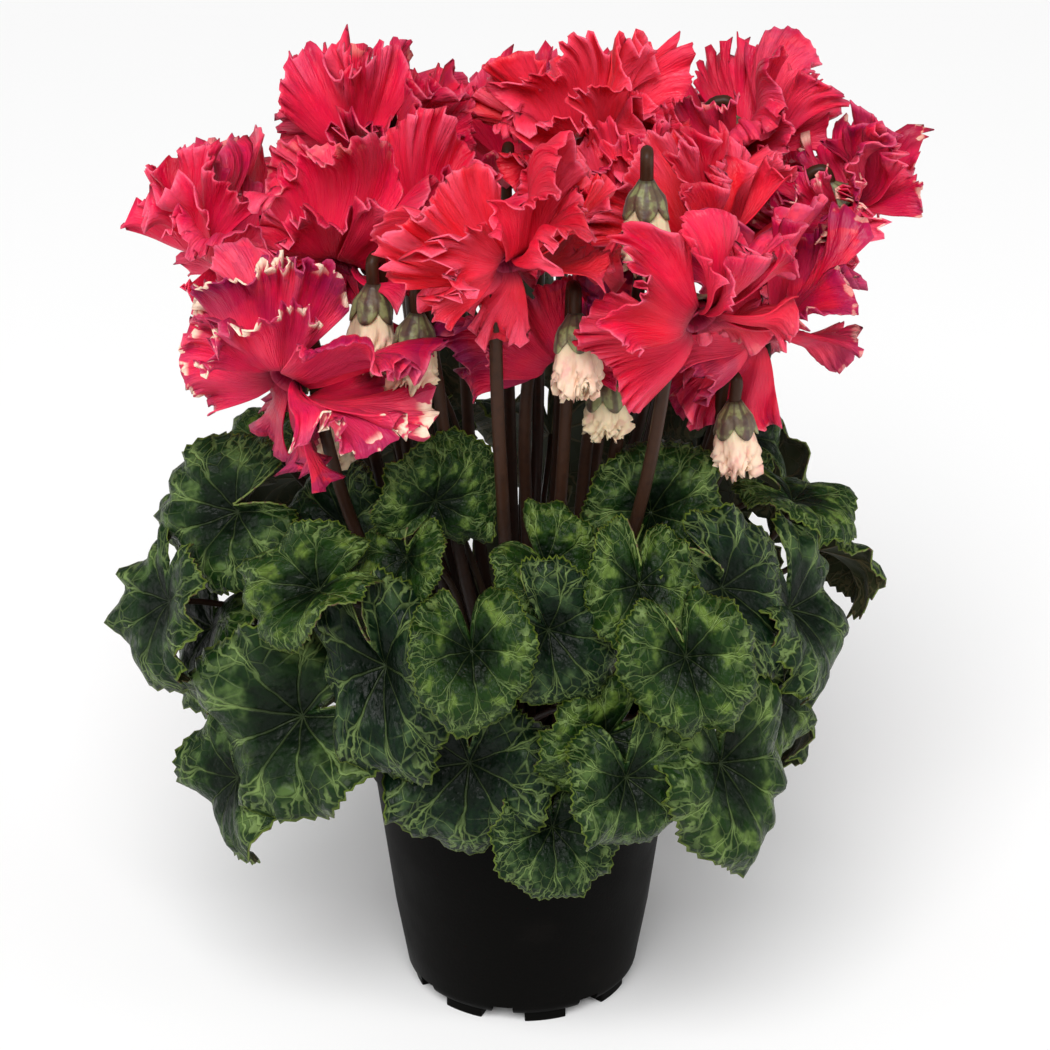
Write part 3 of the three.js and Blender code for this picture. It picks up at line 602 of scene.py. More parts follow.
SKIRT = [
    leaf_row("c1", -27, 119, 205, -24, 75, 17, 50, joins="b1", slim=0.64),
    leaf_row("c2", -47, 123, 171, -26, 73, -58, 48, bend=0.8),
    leaf_row("c3", -61, 137, 133, -48, 82, -8, 38, joins="c2", slim=0.8),
    leaf_row("c4", -78, 135, 185, -63, 68, -6, 37, joins="b4", teeth=8),
    leaf_row("c5", -12, 102, 158, -8, 82, -4, 42),
    leaf_row("c6", 17, 116, 176, 14, 81, -48, 30, joins="c7"),
    leaf_row("c7", 18, 134, 166, 20, 80, 8, 32),
    leaf_row("c8", 7, 103, 129, 9, 71, -2, 29, joins="c5", roll=0.1),
    leaf_row("c9", 36, 136, 163, 35, 78, 16, 48, joins="c7", slim=0.76),
    leaf_row("c10", 56, 124, 174, 55, 76, 6, 34),
    leaf_row("c11", 88, 108, 150, 88, 78, 5, 43, teeth=8),
    leaf_row("c12", 130, 117, 169, 114, 92, -1, 43, joins="b11"),
    leaf_row("c13", 159, 106, 146, 166, 78, 13, 45),
    leaf_row("c14", -168, 108, 150, -168, 80, -6, 46),
    leaf_row("c15", -134, 108, 148, -134, 78, 8, 45, joins="c14"),
    leaf_row("c16", -98, 110, 146, -94, 86, 8, 44, joins="b16"),
]
TIERS = {"crown": CROWN, "middle": MIDDLE, "skirt": SKIRT}
LEAVES = [row for rows in TIERS.values() for row in rows]
for number, row in enumerate(LEAVES):
    row.number = number
print(len(LEAVES), "leaves")

# %% Where a leaf's stem runs
SOIL_TOP = 112
STEM_RADIUS = 1.6
FINE_STEM_RADII = (1.7, 1.35)
ROOT_DEPTH = 6
ROOT_RINGS = {"skirt": 54, "middle": 44, "crown": 34}


def root_of(leaf):
    """A tier's stems rise evenly round a ring; a joined leaf springs from its fellow's root."""
    other = next((row for row in LEAVES if row.name == leaf.joins), None)
    if other:
        aside = place(leaf.turn, leaf.reach, 0) - place(other.turn, other.reach, 0)
        return root_of(other) + aside / np.linalg.norm(aside) * 1.3 * STEM_RADIUS
    tier = next(name for name, rows in TIERS.items() if leaf in rows)
    rooted = sorted((row for row in TIERS[tier] if not row.joins), key=lambda row: row.turn)
    turn = rooted[0].turn + 360 / len(rooted) * rooted.index(leaf)
    return place(turn, ROOT_RINGS[tier], SOIL_TOP - ROOT_DEPTH)


def leaf_stem(leaf, material):
    """The stem leaves the soil upright and meets the blade from behind."""
    root, normal = root_of(leaf), blade_axes(leaf)[2]
    end = end_of(leaf) - 1.2 * normal
    span = np.linalg.norm(end - root)
    # The stem of a low leaf arches over, and that of a high one meets it nearly straight.
    hang = min(max((200 - leaf.height) / 60, 0.1), 1)
    first = root + UP * max(0.55 * (end[2] - root[2]), 48)
    last = end - 0.3 * span * normal + UP * hang * 0.4 * span
    tip = end + 0.9 * normal
    ends = [first, last]
    return stem([root, tip], FINE_STEM_RADII, material, sides=8, steps=24, handles=ends)


print("the first leaf's root is at", root_of(LEAVES[0]).round(1))

# %% [markdown]
# ## The leaf's colours
#
# The upper side is a deep cool green with a silvery, yellow-green marbling half-way out, and a
# nearly black heart with a ragged edge. Pale veins fan out from the stem, wander, fork once, and
# run into a loose net and short thick strokes inside the margin. The margin itself is lighter,
# and its teeth end in small brownish knobs. Painted shade darkens the green where the quilted
# relief dips. The pattern is drawn from the flat heart's own places, which every point of the
# blade carries, so it follows the leaf into each fold.


# %% Veins and marbling
def vein_lines(paint, x, y, share, tone):
    """How strongly a vein shows, from 0 to 1: main veins, their forks, a loose net, and short
    thick strokes just inside the margin."""
    flat = paint.vector(x, y, tone * 9)
    bend = (paint.noise(flat, 1.5, 2.0) - 0.5) * 0.35
    wander = (paint.noise(flat, 6.0, 2.0) - 0.5) * share * 0.3
    turn = y.angle_from(x) + bend + wander
    main = turn.fold(SECTOR / 2)
    fork = abs(main - share.smooth(0.4, 1.0, 0.0, 0.2))
    tick = (turn + paint.noise(flat, 9.0) * 0.25).fold(math.pi / 34)
    near_margin = share.smooth(0.72, 0.86) * share.smooth(0.93, 0.98, 1.0, 0.0)
    lines = near_margin * (tick * share).smooth(0.012, 0.034, 0.8, 0.0)
    # An angle times the way out is a distance, so that a vein is as wide all along.
    for angle, width, strength in ((main, 0.02, 1.0), (fork, 0.017, 0.8)):
        lines = lines.most((angle * share).smooth(0.3 * width, width, strength, 0.0))
    edges = {"feature": "DISTANCE_TO_EDGE"}
    net = paint.node("ShaderNodeTexVoronoi", edges, {"Vector": flat, "Scale": 6.5})
    mesh = net.smooth(0.01, 0.06, 0.55, 0.0) * share.smooth(0.4, 0.7)
    return lines.most(mesh), flat


print("ready to draw veins")


# %% The upper side
def leaf_upper():
    paint = Paint("leaf_upper", Specular_IOR_Level=0.11)
    x, y, share = paint.parts(paint.read("blade"))
    tone = paint.read("tone", "Fac")
    veins, flat = vein_lines(paint, x, y, share, tone)
    cloud = paint.noise(flat, 4.6, 3.0)
    grain = paint.noise(flat, 20.0, 3.0)
    quilt = paint.noise(flat, 7.0, 2.0)
    # The leaf's tone: partly its own colour and partly painted light and shade.
    green = paint.mix(tone, rgb(7, 24, 13), rgb(26, 50, 11))
    green = paint.mix(grain.smooth(0.35, 0.7, 0.0, 0.5), green, rgb(16, 40, 13))
    ragged = share + (quilt - 0.5) * 0.4
    band = ragged.smooth(0.35, 0.55) * ragged.smooth(0.74, 0.95, 1.0, 0.0)
    silver = band * cloud.smooth(0.48, 0.66) * tone.smooth(0.1, 0.9, 0.35, 0.9)
    blotch = paint.mix(tone, rgb(78, 104, 66), rgb(92, 114, 44))
    green = paint.mix(silver, green, blotch)
    heart = ragged.smooth(0.2, 0.6, 0.92, 0.0)
    green = paint.mix(heart, green, rgb(4, 13, 5))
    # Painted shade: the green darkens where the quilt noise is low, which is where the bump below
    # makes the quilted relief dip.
    green = paint.mix(quilt.smooth(0.3, 0.5, 0.45, 0.0), green, rgb(5, 16, 6))
    pale = veins * ragged.smooth(0.2, 0.75, 0.08, 0.6) * cloud.smooth(0.3, 0.6, 0.35, 1.0)
    green = paint.mix(pale, green, rgb(124, 146, 84))
    green = paint.mix(share.smooth(0.965, 0.99) * 0.7, green, rgb(100, 118, 42))
    paint.set("Base Color", green)
    paint.set("Roughness", grain.smooth(0.3, 0.7, 0.32, 0.48))
    paint.bump(quilt * 2.5 + grain * 0.6 - veins * 0.8, 0.0009)
    return paint.material


print("ready to paint the upper side")


# %% The underside, the margin and the stem
def leaf_underside():
    paint = Paint("leaf_underside", Roughness=0.6, Specular_IOR_Level=0.3)
    x, y, share = paint.parts(paint.read("blade"))
    tone = paint.read("tone", "Fac")
    veins, flat = vein_lines(paint, x, y, share, tone)
    olive = paint.mix(paint.noise(flat, 5.0), rgb(34, 42, 22), rgb(56, 58, 32))
    olive = paint.mix(veins * 0.5, olive, rgb(104, 92, 62))
    paint.set("Base Color", olive)
    paint.bump(veins, 0.0006)
    return paint.material


def leaf_margin():
    """The thin rim: light green, with a brownish knob on many of its teeth."""
    paint = Paint("leaf_margin", Roughness=0.55)
    dots = paint.noise(paint.on_plant(), 420.0, 1.0).smooth(0.5, 0.62)
    paint.set("Base Color", paint.mix(dots, rgb(96, 112, 46), rgb(78, 60, 34)))
    return paint.material


def stem_skin(name, low, high):
    """A fleshy stem: low is its colour in the plant's shade, high where it meets the light."""
    paint = Paint(name, Roughness=0.45, Specular_IOR_Level=0.2)
    on_plant = paint.on_plant()
    height = paint.parts(on_plant)[2]
    flecks = paint.noise(on_plant, 260.0, 2.0)
    colour = paint.mix(height.smooth(0.14, 0.36), low, high)
    colour = paint.mix(flecks.smooth(0.45, 0.75, 0.0, 0.4), colour, rgb(24, 12, 10))
    paint.set("Base Color", colour)
    paint.bump(flecks, 0.0003)
    return paint.material


leaf_skins = [leaf_upper(), leaf_underside(), leaf_margin()]
leaf_stem_skin = stem_skin("leaf_stem", rgb(40, 24, 17), rgb(70, 54, 34))
print("leaf materials:", [skin.name for skin in leaf_skins])

# %% [markdown]
# ## Growing the leaves
#
# Each leaf is one closed sheet, round its stem, joined with the stem itself. Leaves in front get
# a finer grid than those that the camera never meets closely. A leaf whose stem springs from
# another's root is one piece with it, as in the solids.

# %% Blades and stems
BLADE_THICKNESS = 0.7
FRONT_BLADE_GRID = (132, 11)
BACK_BLADE_GRID = (96, 9)


def grow_leaf(leaf):
    around, rings = FRONT_BLADE_GRID if in_front(leaf.turn) else BACK_BLADE_GRID
    blade = sheet(blade_shape(leaf, around), around, rings, BLADE_THICKNESS, leaf_skins)
    return [blade, leaf_stem(leaf, leaf_stem_skin)]


for row in LEAVES:
    if not row.joins:
        family = [row] + [other for other in LEAVES if other.joins == row.name]
        parts = [part for member in family for part in grow_leaf(member)]
        piece = join(parts, f"fine_leaf_{row.name}")
        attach(piece, "root")
        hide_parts(f"leaf_{row.name}")
print("grew", len(LEAVES), "leaves; the last has", len(piece.data.polygons), "faces")

# %% [markdown]
# ## The flower as a formula
#
# A cyclamen flower hangs its mouth down and throws its five petals back over its shoulders. In
# this fringed kind a petal is a broad fan. It leaves the throat as a narrow foot, turns back at
# once, twists to one side, and ends in a crimped, torn margin that rolls in or out. A petal is
# worked out as a fan that is laid along its bent middle line, with folds and crumples across its
# face and waves that grow towards the margin. A small inner petal is the same fan, shorter, more
# upright and more crimped.

# %% Directions and the middle line
PETAL_START_RADIUS = 5.4
PETAL_START_DEPTH = 5.0
PETAL_COUNT = 5
PETAL_PITCH = 64
FAN_HALF_ANGLE = math.radians(31)
FOOT_HALF_WIDTH = 2.5
PETAL_SPREAD = 1.42
PETAL_TWIST = math.radians(40)


def flower_axes(flower):
    """Down the flower's mouth, up its back and across."""
    out, dip = outward(flower.face), math.radians(flower.nod)
    mouth = out * math.cos(dip) - UP * math.sin(dip)
    back = UP * math.cos(dip) + out * math.sin(dip)
    return mouth, back, np.cross(mouth, back)


def cup(flower, turn, radius, forward):
    """Points round a flower's axis: a turn round it, a radius, and how far down the mouth."""
    mouth, back, across = flower_axes(flower)
    ring = outer(radius * np.cos(turn), back) + outer(radius * np.sin(turn), across)
    return end_of(flower) + outer(forward, mouth) + ring


def middle_line(flower, length, seed, reflex, steps=16):
    """How far out and forward a petal's middle is at a length along it, and its lean there. The
    petal leaves the throat nearly forward, turns back at once, and rolls in or out at its tip."""
    start = math.radians(25)
    end = math.radians(reflex + 20 * (draw(seed) - 0.5))
    tip = math.radians(35 - 150 * draw(seed + 0.33))

    def lean_at(run):
        turned_back = 1 - np.exp(-run / 5)
        return start + (end - start) * turned_back + tip * smooth(run / flower.petal, 0.45, 1.15)

    out = np.full(length.shape, PETAL_START_RADIUS)
    forward = np.full(length.shape, PETAL_START_DEPTH)
    for step in range(steps):
        lean = lean_at((step + 0.5) / steps * length)
        out += length / steps * np.sin(lean)
        forward += length / steps * np.cos(lean)
    return out, forward, lean_at(length)


span = round(2 * math.degrees(PETAL_SPREAD * FAN_HALF_ANGLE))
print("a petal spans", span, "degrees of its fan")

# %% How one petal stands
INNER_PITCH = 88
INNER_START = -110
INNER_SIZE = 0.8
INNER_UPRIGHT = 38
INNER_CRISP = 1.25


def petal_habit(flower, petal):
    """A petal's turn, size, reflex and crispness. Those after the fifth are small inner ones."""
    number = 11 * flower.number + petal
    size = flower.petal * (0.96 + 0.1 * draw(number + 0.3))
    if petal < PETAL_COUNT:
        turn = (petal - 2) * PETAL_PITCH + 6 * (draw(number) - 0.5)
        return math.radians(turn), size, flower.reflex, flower.crisp
    turn = (petal - PETAL_COUNT) * INNER_PITCH + INNER_START + 20 * draw(number)
    reflex = flower.reflex - INNER_UPRIGHT
    return math.radians(turn), size * INNER_SIZE, reflex, flower.crisp * INNER_CRISP


print("inner petals are", INNER_SIZE, "of the size of the others")

# %% The fan, its waves and its torn margin
SWELL_HEIGHT = 6.9
FOLD_HEIGHT = 2.5
TORN_LENGTH = 0.02
WAVE_HEIGHT = 3.4
CRINKLE_HEIGHT = 1.5
CRUMPLE_HEIGHT = 2.2
SIDEWAYS_WAVE = 1.4


def petal_shape(flower, petal):
    """The formula of one petal, for a sheet that runs from its foot to its margin."""
    mouth, back, across = flower_axes(flower)
    number = 11 * flower.number + petal
    turn, size, reflex, ruffled = petal_habit(flower, petal)
    radial = back * math.cos(turn) + across * math.sin(turn)
    side = np.cross(mouth, radial)
    phases = [2 * math.pi * draw(number + shift) for shift in (0.9, 0.2, 0.4, 0.6, 0.5)]
    curl = 12 * (draw(number + 0.8) - 0.5)

    def shape(u, v):
        # Where the margin is waved, crisp and torn. The rows lie closer together towards it.
        v = v * (1.3 - 0.3 * v)
        warp = u + 0.1 * np.sin(5 * u + phases[1])
        crisp = ruffled * (0.65 + 0.35 * np.sin(3.3 * u + phases[4]))
        margin = smooth(v, 0.45, 1.05) ** 2
        wave = 27 * warp + phases[3] + 2 * np.sin(4 * u + phases[0]) + 1.5 * v
        small = 58 * u + 3 * np.sin(5 * u + phases[2])
        torn = TORN_LENGTH * (np.cos(wave + 1) + np.cos(small + 1))
        # The flat fan: a length along its middle and a width to the side.
        share = v * (1 - 0.14 * v**2 * u**4 + v**6 * crisp * torn)
        share *= 0.97 + 0.09 * v**3 * np.sin(5 * u + phases[2])
        angle = -PETAL_SPREAD * FAN_HALF_ANGLE * u
        length = share * size * np.cos(angle)
        foot = FOOT_HALF_WIDTH * (1 - share) * angle / FAN_HALF_ANGLE
        width = foot + share * size * np.sin(angle)
        width += SIDEWAYS_WAVE * crisp * v**6 * np.sin(2 * wave)
        # The fan laid along the bent middle line and twisted about it.
        out, forward, lean = middle_line(flower, length, number + 0.15, reflex)
        normal = outer(-np.cos(lean), radial) + outer(np.sin(lean), mouth)
        twist = PETAL_TWIST * (1 - np.exp(-6 * share))[:, None]
        lateral = side * np.cos(twist) + normal * np.sin(twist)
        facing = normal * np.cos(twist) - side * np.sin(twist)
        # How far the face lifts off it: a swell, folds, the crimped margin and crumples.
        swell = SWELL_HEIGHT * share**2 * np.sin(4.4 * angle / FAN_HALF_ANGLE + phases[0])
        meander = 3 * share * np.sin(2.5 * u + phases[1])
        fold = FOLD_HEIGHT * share**1.8 * np.sin(8 * warp + phases[2] + meander)
        ripples = WAVE_HEIGHT * np.sin(wave) + CRINKLE_HEIGHT * np.sin(small)
        crimp = margin * crisp * (1.6 + ripples)
        across_folds = np.sin(8 * share + 3 * np.sin(3 * u + phases[4]) + phases[0])
        crumple = crisp**2 * share**2 * np.sin(13 * warp + 4 * share + phases[3]) * across_folds
        lift = swell + fold + crimp + CRUMPLE_HEIGHT * crumple + curl * share**4
        points = end_of(flower) + outer(out, radial) + outer(forward, mouth)
        points += lateral * width[:, None] + facing * lift[:, None]
        # The third mark is how far the face lifts off its fan. The material paints highlights on
        # the crests and shade in the troughs from it.
        marks = np.stack([warp, v, 0.5 + 0.08 * (fold + crimp + crumple)], axis=1)
        tint = (
            flower.scarlet + 0.4 * (draw(number + 0.7) - 0.5),
            flower.purple * (0.4 + 1.2 * draw(number + 0.25)),
            flower.cream * (draw(number + 0.45) > 0.5),
        )
        return points, {"petal": marks, "tint": np.tile(tint, (len(u), 1))}

    return shape


print("ready to shape petals")

# %% The throat
THROAT_SHARES = (0, 0.3, 0.8, 1)
THROAT_RADII = (0, 4.6, 5.4, 6.6)
THROAT_DEPTHS = (0.6, 0.6, 5, 6.4)


def throat_shape(flower):
    """The short cup behind the petals' feet, closed towards the stalk."""

    def shape(u, v):
        radius = np.interp(v, THROAT_SHARES, THROAT_RADII)
        points = cup(flower, math.pi * u, radius, np.interp(v, THROAT_SHARES, THROAT_DEPTHS))
        marks = np.stack([u, 0.1 * v, 0.5 + 0 * v], axis=1)
        return points, {"petal": marks, "tint": np.tile((flower.scarlet, 1, 0), (len(u), 1))}

    return shape


print("a throat is", THROAT_DEPTHS[-1], "mm deep")

# %% [markdown]
# ## The flowers' list
#
# Turn, reach and height place a flower's neck, where its stalk ends. Face and nod aim its mouth.
# Three short lists follow: the fullest flowers with how hard they are crimped, those whose petals
# are trimmed to their neighbours, and each flower's tints, which are how scarlet it is against
# cerise, how much purple lies in its shade and how much cream its torn margin shows.

# %% One row for each flower
USUAL_FLOWER = {"nod": 60, "petal": 47, "reflex": 150}


def flower_row(name, turn, reach, height, face, **habit):
    row = SimpleNamespace(**{**USUAL_FLOWER, **habit})
    row.name, row.turn, row.reach, row.height, row.face = name, turn, reach, height, face
    return row


FLOWERS = [
    flower_row("01", -78, 120, 351, -80, nod=41, reflex=142, petal=50),
    flower_row("02", -112, 66, 388, -33, nod=69),
    flower_row("03", -47, 92, 364, -39, nod=42, reflex=142, petal=50),
    flower_row("04", -40, 136, 330, -36, nod=31, reflex=130, petal=52),
    flower_row("05", -2, 129, 386, 22, nod=45, reflex=136, petal=48),
    flower_row("06", -175, 60, 364, 174, nod=54),
    flower_row("07", 80, 26, 402, 26, nod=80, petal=44),
    flower_row("08", 106, 92, 390, 85, reflex=144, petal=48, nod=69),
    flower_row("09", 85, 129, 372, 83, nod=53, reflex=140, petal=48),
    flower_row("10", 53, 87, 368, 22, nod=38, reflex=144),
    flower_row("11", 27, 141, 362, 33, nod=31, reflex=128, petal=41),
    flower_row("12", 57, 111, 335, 37, nod=33, reflex=130, petal=50),
    flower_row("13", 113, 130, 334, 108, nod=55, reflex=138),
    flower_row("14", 10, 78, 333, 53, nod=62, reflex=132, petal=42),
    flower_row("15", -146, 119, 362, -140),
    flower_row("16", 172, 113, 359, 152, nod=60),
    flower_row("17", 141, 127, 354, 134, nod=54),
    flower_row("18", -117, 127, 339, -107, nod=58),
    flower_row("19", -58, 39, 361, -30, nod=44, reflex=142, petal=48),
    flower_row("20", 59, 49, 366, 10, nod=44, reflex=148, petal=44),
]
print(len(FLOWERS), "flowers")

# %% Crimps, trimmed petals and tints
USUAL_CRISP = 1.15
FULL_FLOWERS = {
    "01": 1.25, "02": 1.4, "03": 1.1, "04": 1.3, "05": 1.35,
    "07": 1.3, "08": 1.5, "09": 1.5, "12": 1.1,
}
SHORTER_PETALS = {"05": 0.94, "08": 0.94, "09": 0.82}
USUAL_TINT = (0.3, 0.3, 0.2)
TINTS = {
    "01": (0.05, 0.25, 0.0),
    "02": (0.25, 0.2, 0.0),
    "03": (0.35, 0.15, 0.1),
    "04": (0.15, 0.45, 0.9),
    "05": (0.75, 0.05, 0.0),
    "07": (0.9, 0.05, 0.0),
    "08": (0.35, 0.2, 0.2),
    "09": (0.1, 0.4, 0.5),
    "10": (0.9, 0.1, 0.0),
    "11": (0.45, 0.2, 0.1),
    "12": (0.35, 0.45, 0.3),
    "14": (0.2, 0.8, 0.0),
    "19": (0.4, 0.2, 0.0),
    "20": (0.8, 0.2, 0.0),
}
for number, row in enumerate(FLOWERS):
    row.number = number
    row.scarlet, row.purple, row.cream = TINTS.get(row.name, USUAL_TINT)
    row.crisp = FULL_FLOWERS.get(row.name, USUAL_CRISP)
    row.petal *= SHORTER_PETALS.get(row.name, 1)
print(len(TINTS), "flowers have their own tints, and", len(FULL_FLOWERS), "are full")

# %% [markdown]
# ## Petal colour
#
# The petals run from cerise to scarlet. Fine streaks follow the fan, the foot is a dark purple,
# and here and there the margin is washed out to cream. The crests of the folds and crimps get a
# painted pink highlight and their troughs a painted dark red shade; the crimped margin is paler,
# most of all on its crests, where that too is a painted highlight. Petals let some light through,
# which a little scattering under the surface gives, and their velvet look comes from a soft sheen.


# %% The petal's material
def petal_skin():
    paint = Paint(
        "petal_velvet",
        Specular_IOR_Level=0.28,
        Subsurface_Weight=0.12,
        Subsurface_Scale=0.002,
        Sheen_Weight=0.04,
        Sheen_Roughness=0.45,
        Sheen_Tint=rgb(255, 170, 190),
    )
    u, share, crest = paint.parts(paint.read("petal"))
    scarlet, purple, cream = paint.parts(paint.read("tint"))
    fan = paint.vector(u * 16, share * 1.6, scarlet * 40)
    streaks = paint.noise(fan, 1.6, 4.0)
    on_plant = paint.on_plant()
    blotch = paint.noise(on_plant, 45.0, 3.0)
    colour = paint.mix(scarlet, rgb(234, 12, 76), rgb(228, 20, 32))
    colour = paint.mix(streaks.smooth(0.35, 0.75, 0.0, 0.35), colour, rgb(250, 52, 78))
    # Painted highlight: the crests of the folds and crimps are painted a light pink.
    colour = paint.mix(crest.smooth(0.48, 0.82, 0.0, 0.55), colour, rgb(255, 96, 126))
    # Painted shade: the troughs of the folds and crimps are painted a dark red.
    colour = paint.mix(crest.smooth(0.1, 0.45, 0.7, 0.0), colour, rgb(140, 4, 22))
    mood = paint.noise(on_plant, 18.0, 2.0)
    colour = paint.mix(mood.smooth(0.5, 0.64, 0.0, 0.5), colour, rgb(172, 8, 26))
    colour = paint.mix(mood.smooth(0.5, 0.38, 0.0, 0.4), colour, rgb(255, 70, 104))
    deep = purple * blotch.smooth(0.35, 0.6) * 0.85
    colour = paint.mix(deep, colour, rgb(124, 4, 66))
    colour = paint.mix(share.smooth(0.02, 0.25, 0.85, 0.0), colour, rgb(128, 2, 40))
    # The very margin is a little paler and much paler on its crests: partly its own pale edge and
    # partly a painted highlight.
    edge = share.smooth(0.975, 1.0) * crest.smooth(0.35, 0.75, 0.04, 0.36)
    colour = paint.mix(edge, colour, rgb(252, 122, 150))
    shreds = paint.noise(on_plant, 130.0, 2.0)
    fringe = purple * share.smooth(0.75, 0.92) * shreds.smooth(0.56, 0.5, 0.0, 1.0)
    colour = paint.mix(fringe * 0.8, colour, rgb(128, 6, 78))
    washed = cream * share.smooth(0.88, 0.96) * shreds.smooth(0.53, 0.57)
    colour = paint.mix(washed, colour, rgb(250, 222, 196))
    paint.set("Base Color", colour)
    paint.set("Roughness", streaks.smooth(0.3, 0.7, 0.36, 0.54))
    crinkles = paint.noise(fan, 5.0, 3.0) * share.smooth(0.3, 0.9, 0.4, 1.6)
    paint.bump(streaks + blotch * 0.5 + crinkles, 0.0007)
    return paint.material


petal_velvet = petal_skin()
print("petal material:", petal_velvet.name)

# %% [markdown]
# ## Opening the flowers
#
# Every flower has five petals and its throat, joined into one piece. The flowers that face the
# camera have a finer grid, so that the smallest crimps stay round, and two small inner petals, or
# four in the fullest ones, because the real flowers look nearly double.

# %% Petals and throats
PETAL_THICKNESS = 0.6
THROAT_THICKNESS = 0.7
FRONT_PETAL_GRID = (88, 13)
BACK_PETAL_GRID = (48, 10)
INNER_PETAL_GRID = (54, 11)
THROAT_GRID = (30, 10)
FRONT_FLOWERS = "01 02 03 04 05 07 08 09 10 11 12 14 19 20".split()


def petals(flower, numbers, grid):
    """The sheets of some of a flower's petals, on grids of so many columns and rows."""
    shapes = [petal_shape(flower, number) for number in numbers]
    return [sheet(shape, *grid, PETAL_THICKNESS, [petal_velvet]) for shape in shapes]


def open_flower(flower):
    if flower.name in FRONT_FLOWERS:
        last = PETAL_COUNT + (4 if flower.name in FULL_FLOWERS else 2)
        parts = petals(flower, range(PETAL_COUNT), FRONT_PETAL_GRID)
        parts += petals(flower, range(PETAL_COUNT, last), INNER_PETAL_GRID)
    else:
        parts = petals(flower, range(PETAL_COUNT), BACK_PETAL_GRID)
    parts.append(sheet(throat_shape(flower), *THROAT_GRID, THROAT_THICKNESS, [petal_velvet]))
    return join(parts, f"fine_flower_{flower.name}")


for row in FLOWERS:
    piece = open_flower(row)
    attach(piece, "root")
    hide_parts(f"flower_{row.name}")
print("opened", len(FLOWERS), "flowers; the last has", len(piece.data.polygons), "faces")

# %% [markdown]
# ## Buds
#
# The buds have just left their calyxes. Their petals are still furled round each other, cream
# with a blush, and already crumpled at the end. Three nested tubes, each fluted, twisted and torn
# at its end, look like the rolled tissue of the real ones.


# %% One row for each bud
def bud_row(name, turn, reach, height, face, nod, length):
    row = SimpleNamespace(name=name, turn=turn, reach=reach, height=height)
    row.face, row.nod, row.length = face, nod, length
    return row


BUDS = [
    bud_row("1", 25, 111, 401, -2, 87, 20),
    bud_row("2", 11, 108, 350, 8, 75, 17),
    bud_row("3", -22, 107, 348, -24, 80, 16),
    bud_row("4", -33, 105, 356, -17, 82, 18),
    bud_row("5", 22, 89, 318, 22, 84, 12),
    bud_row("6", 50, 111, 302, 29, 84, 16),
    bud_row("7", -48, 97, 305, -42, 76, 17),
]
print(len(BUDS), "buds")

# %% Furled petals
BUD_START = 7.5  # how far down the mouth the tubes begin, hidden in the calyx
BUD_OVERLAP = 1.5
BUD_LAYERS = ((1.0, 1.0), (0.74, 1.06), (0.46, 1.0))  # how wide and how long each tube is


def bud_shape(bud, layer):
    """The formula of one furled tube."""
    wide, long = BUD_LAYERS[layer]
    seed = 5 * int(bud.name) + layer
    phases = [2 * math.pi * draw(seed + shift) for shift in (0.1, 0.3, 0.5)]

    def shape(u, v):
        turn = math.pi * u
        flute = (0.06 + 0.16 * v**2) * np.sin(5 * turn + 2.5 * v + phases[0])
        crimp = 0.26 * v**2 * np.sin(12 * turn + 5 * np.sin(4 * v) + phases[1])
        crimp += 0.12 * v * np.sin(25 * turn + 11 * v + 2 * np.sin(3 * turn))
        radius = wide * (6.4 + 6.6 * v - 5.6 * v**2) * (1 + flute + crimp)
        torn = 0.13 * np.sin(4 * turn + phases[2]) + 0.1 * np.sin(13 * turn + phases[0])
        forward = BUD_START + (v + v**3 * torn) * (bud.length * long + BUD_OVERLAP)
        # The third mark is how far a point stands out on the flutes and crimps. The material paints
        # shade in their troughs from it.
        marks = np.stack([u, v, 0.5 + 1.3 * (flute + crimp)], axis=1)
        tone = np.full(len(u), draw(seed))
        return cup(bud, turn, radius, forward), {"petal": marks, "tone": tone}

    return shape


print("a bud is", len(BUD_LAYERS), "tubes, one in another")


# %% The buds' tissue
def bud_tissue():
    paint = Paint("bud_tissue", Roughness=0.62, Subsurface_Weight=0.15, Subsurface_Scale=0.002)
    share, crest = paint.parts(paint.read("petal"))[1:]
    tone = paint.read("tone", "Fac")
    blotch = paint.noise(paint.on_plant(), 160.0, 3.0)
    colour = paint.mix(tone, rgb(248, 228, 184), rgb(242, 206, 180))
    colour = paint.mix(share.smooth(0.0, 0.5, 0.5, 0.0), colour, rgb(196, 196, 146))
    # Painted shade: darker beige in the troughs of the flutes and crimps.
    colour = paint.mix(crest.smooth(0.15, 0.55, 0.6, 0.0), colour, rgb(196, 140, 104))
    colour = paint.mix(blotch.smooth(0.5, 0.7, 0.0, 0.5), colour, rgb(226, 140, 140))
    paint.set("Base Color", colour)
    paint.bump(blotch, 0.0006)
    return paint.material


tissue = bud_tissue()
print("bud material:", tissue.name)

# %% Growing the buds
BUD_GRID = (64, 12)
BUD_THICKNESS = 0.5
for row in BUDS:
    shapes = [bud_shape(row, layer) for layer in range(len(BUD_LAYERS))]
    layers = [sheet(shape, *BUD_GRID, BUD_THICKNESS, [tissue]) for shape in shapes]
    piece = join(layers, f"fine_bud_{row.name}")
    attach(piece, "root")
    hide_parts(f"bud_{row.name}")
print(len(BUDS), "buds of", len(piece.data.polygons), "faces each")

# %% [markdown]
# ## Stalks, calyxes and the corm
#
# All flower stalks rise from the top of the corm, a flattened brown tuber. They are thick, juicy
# and dark red-brown, and each hooks over at its end. There five green sepals with brown ribs hold
# the flower. A stalk is a smooth curve through the places that its solid passes: the corm's top,
# a point half-way up, the shoulder, the hook and the neck.

# %% Stalks
HOOK = 13
CORM_CENTRE = 115
CORM_RADIUS = 24
CORM_HALF_HEIGHT = 13
STALK_RADII = (3.0, 2.7, 2.5, 2.5, 2.5)


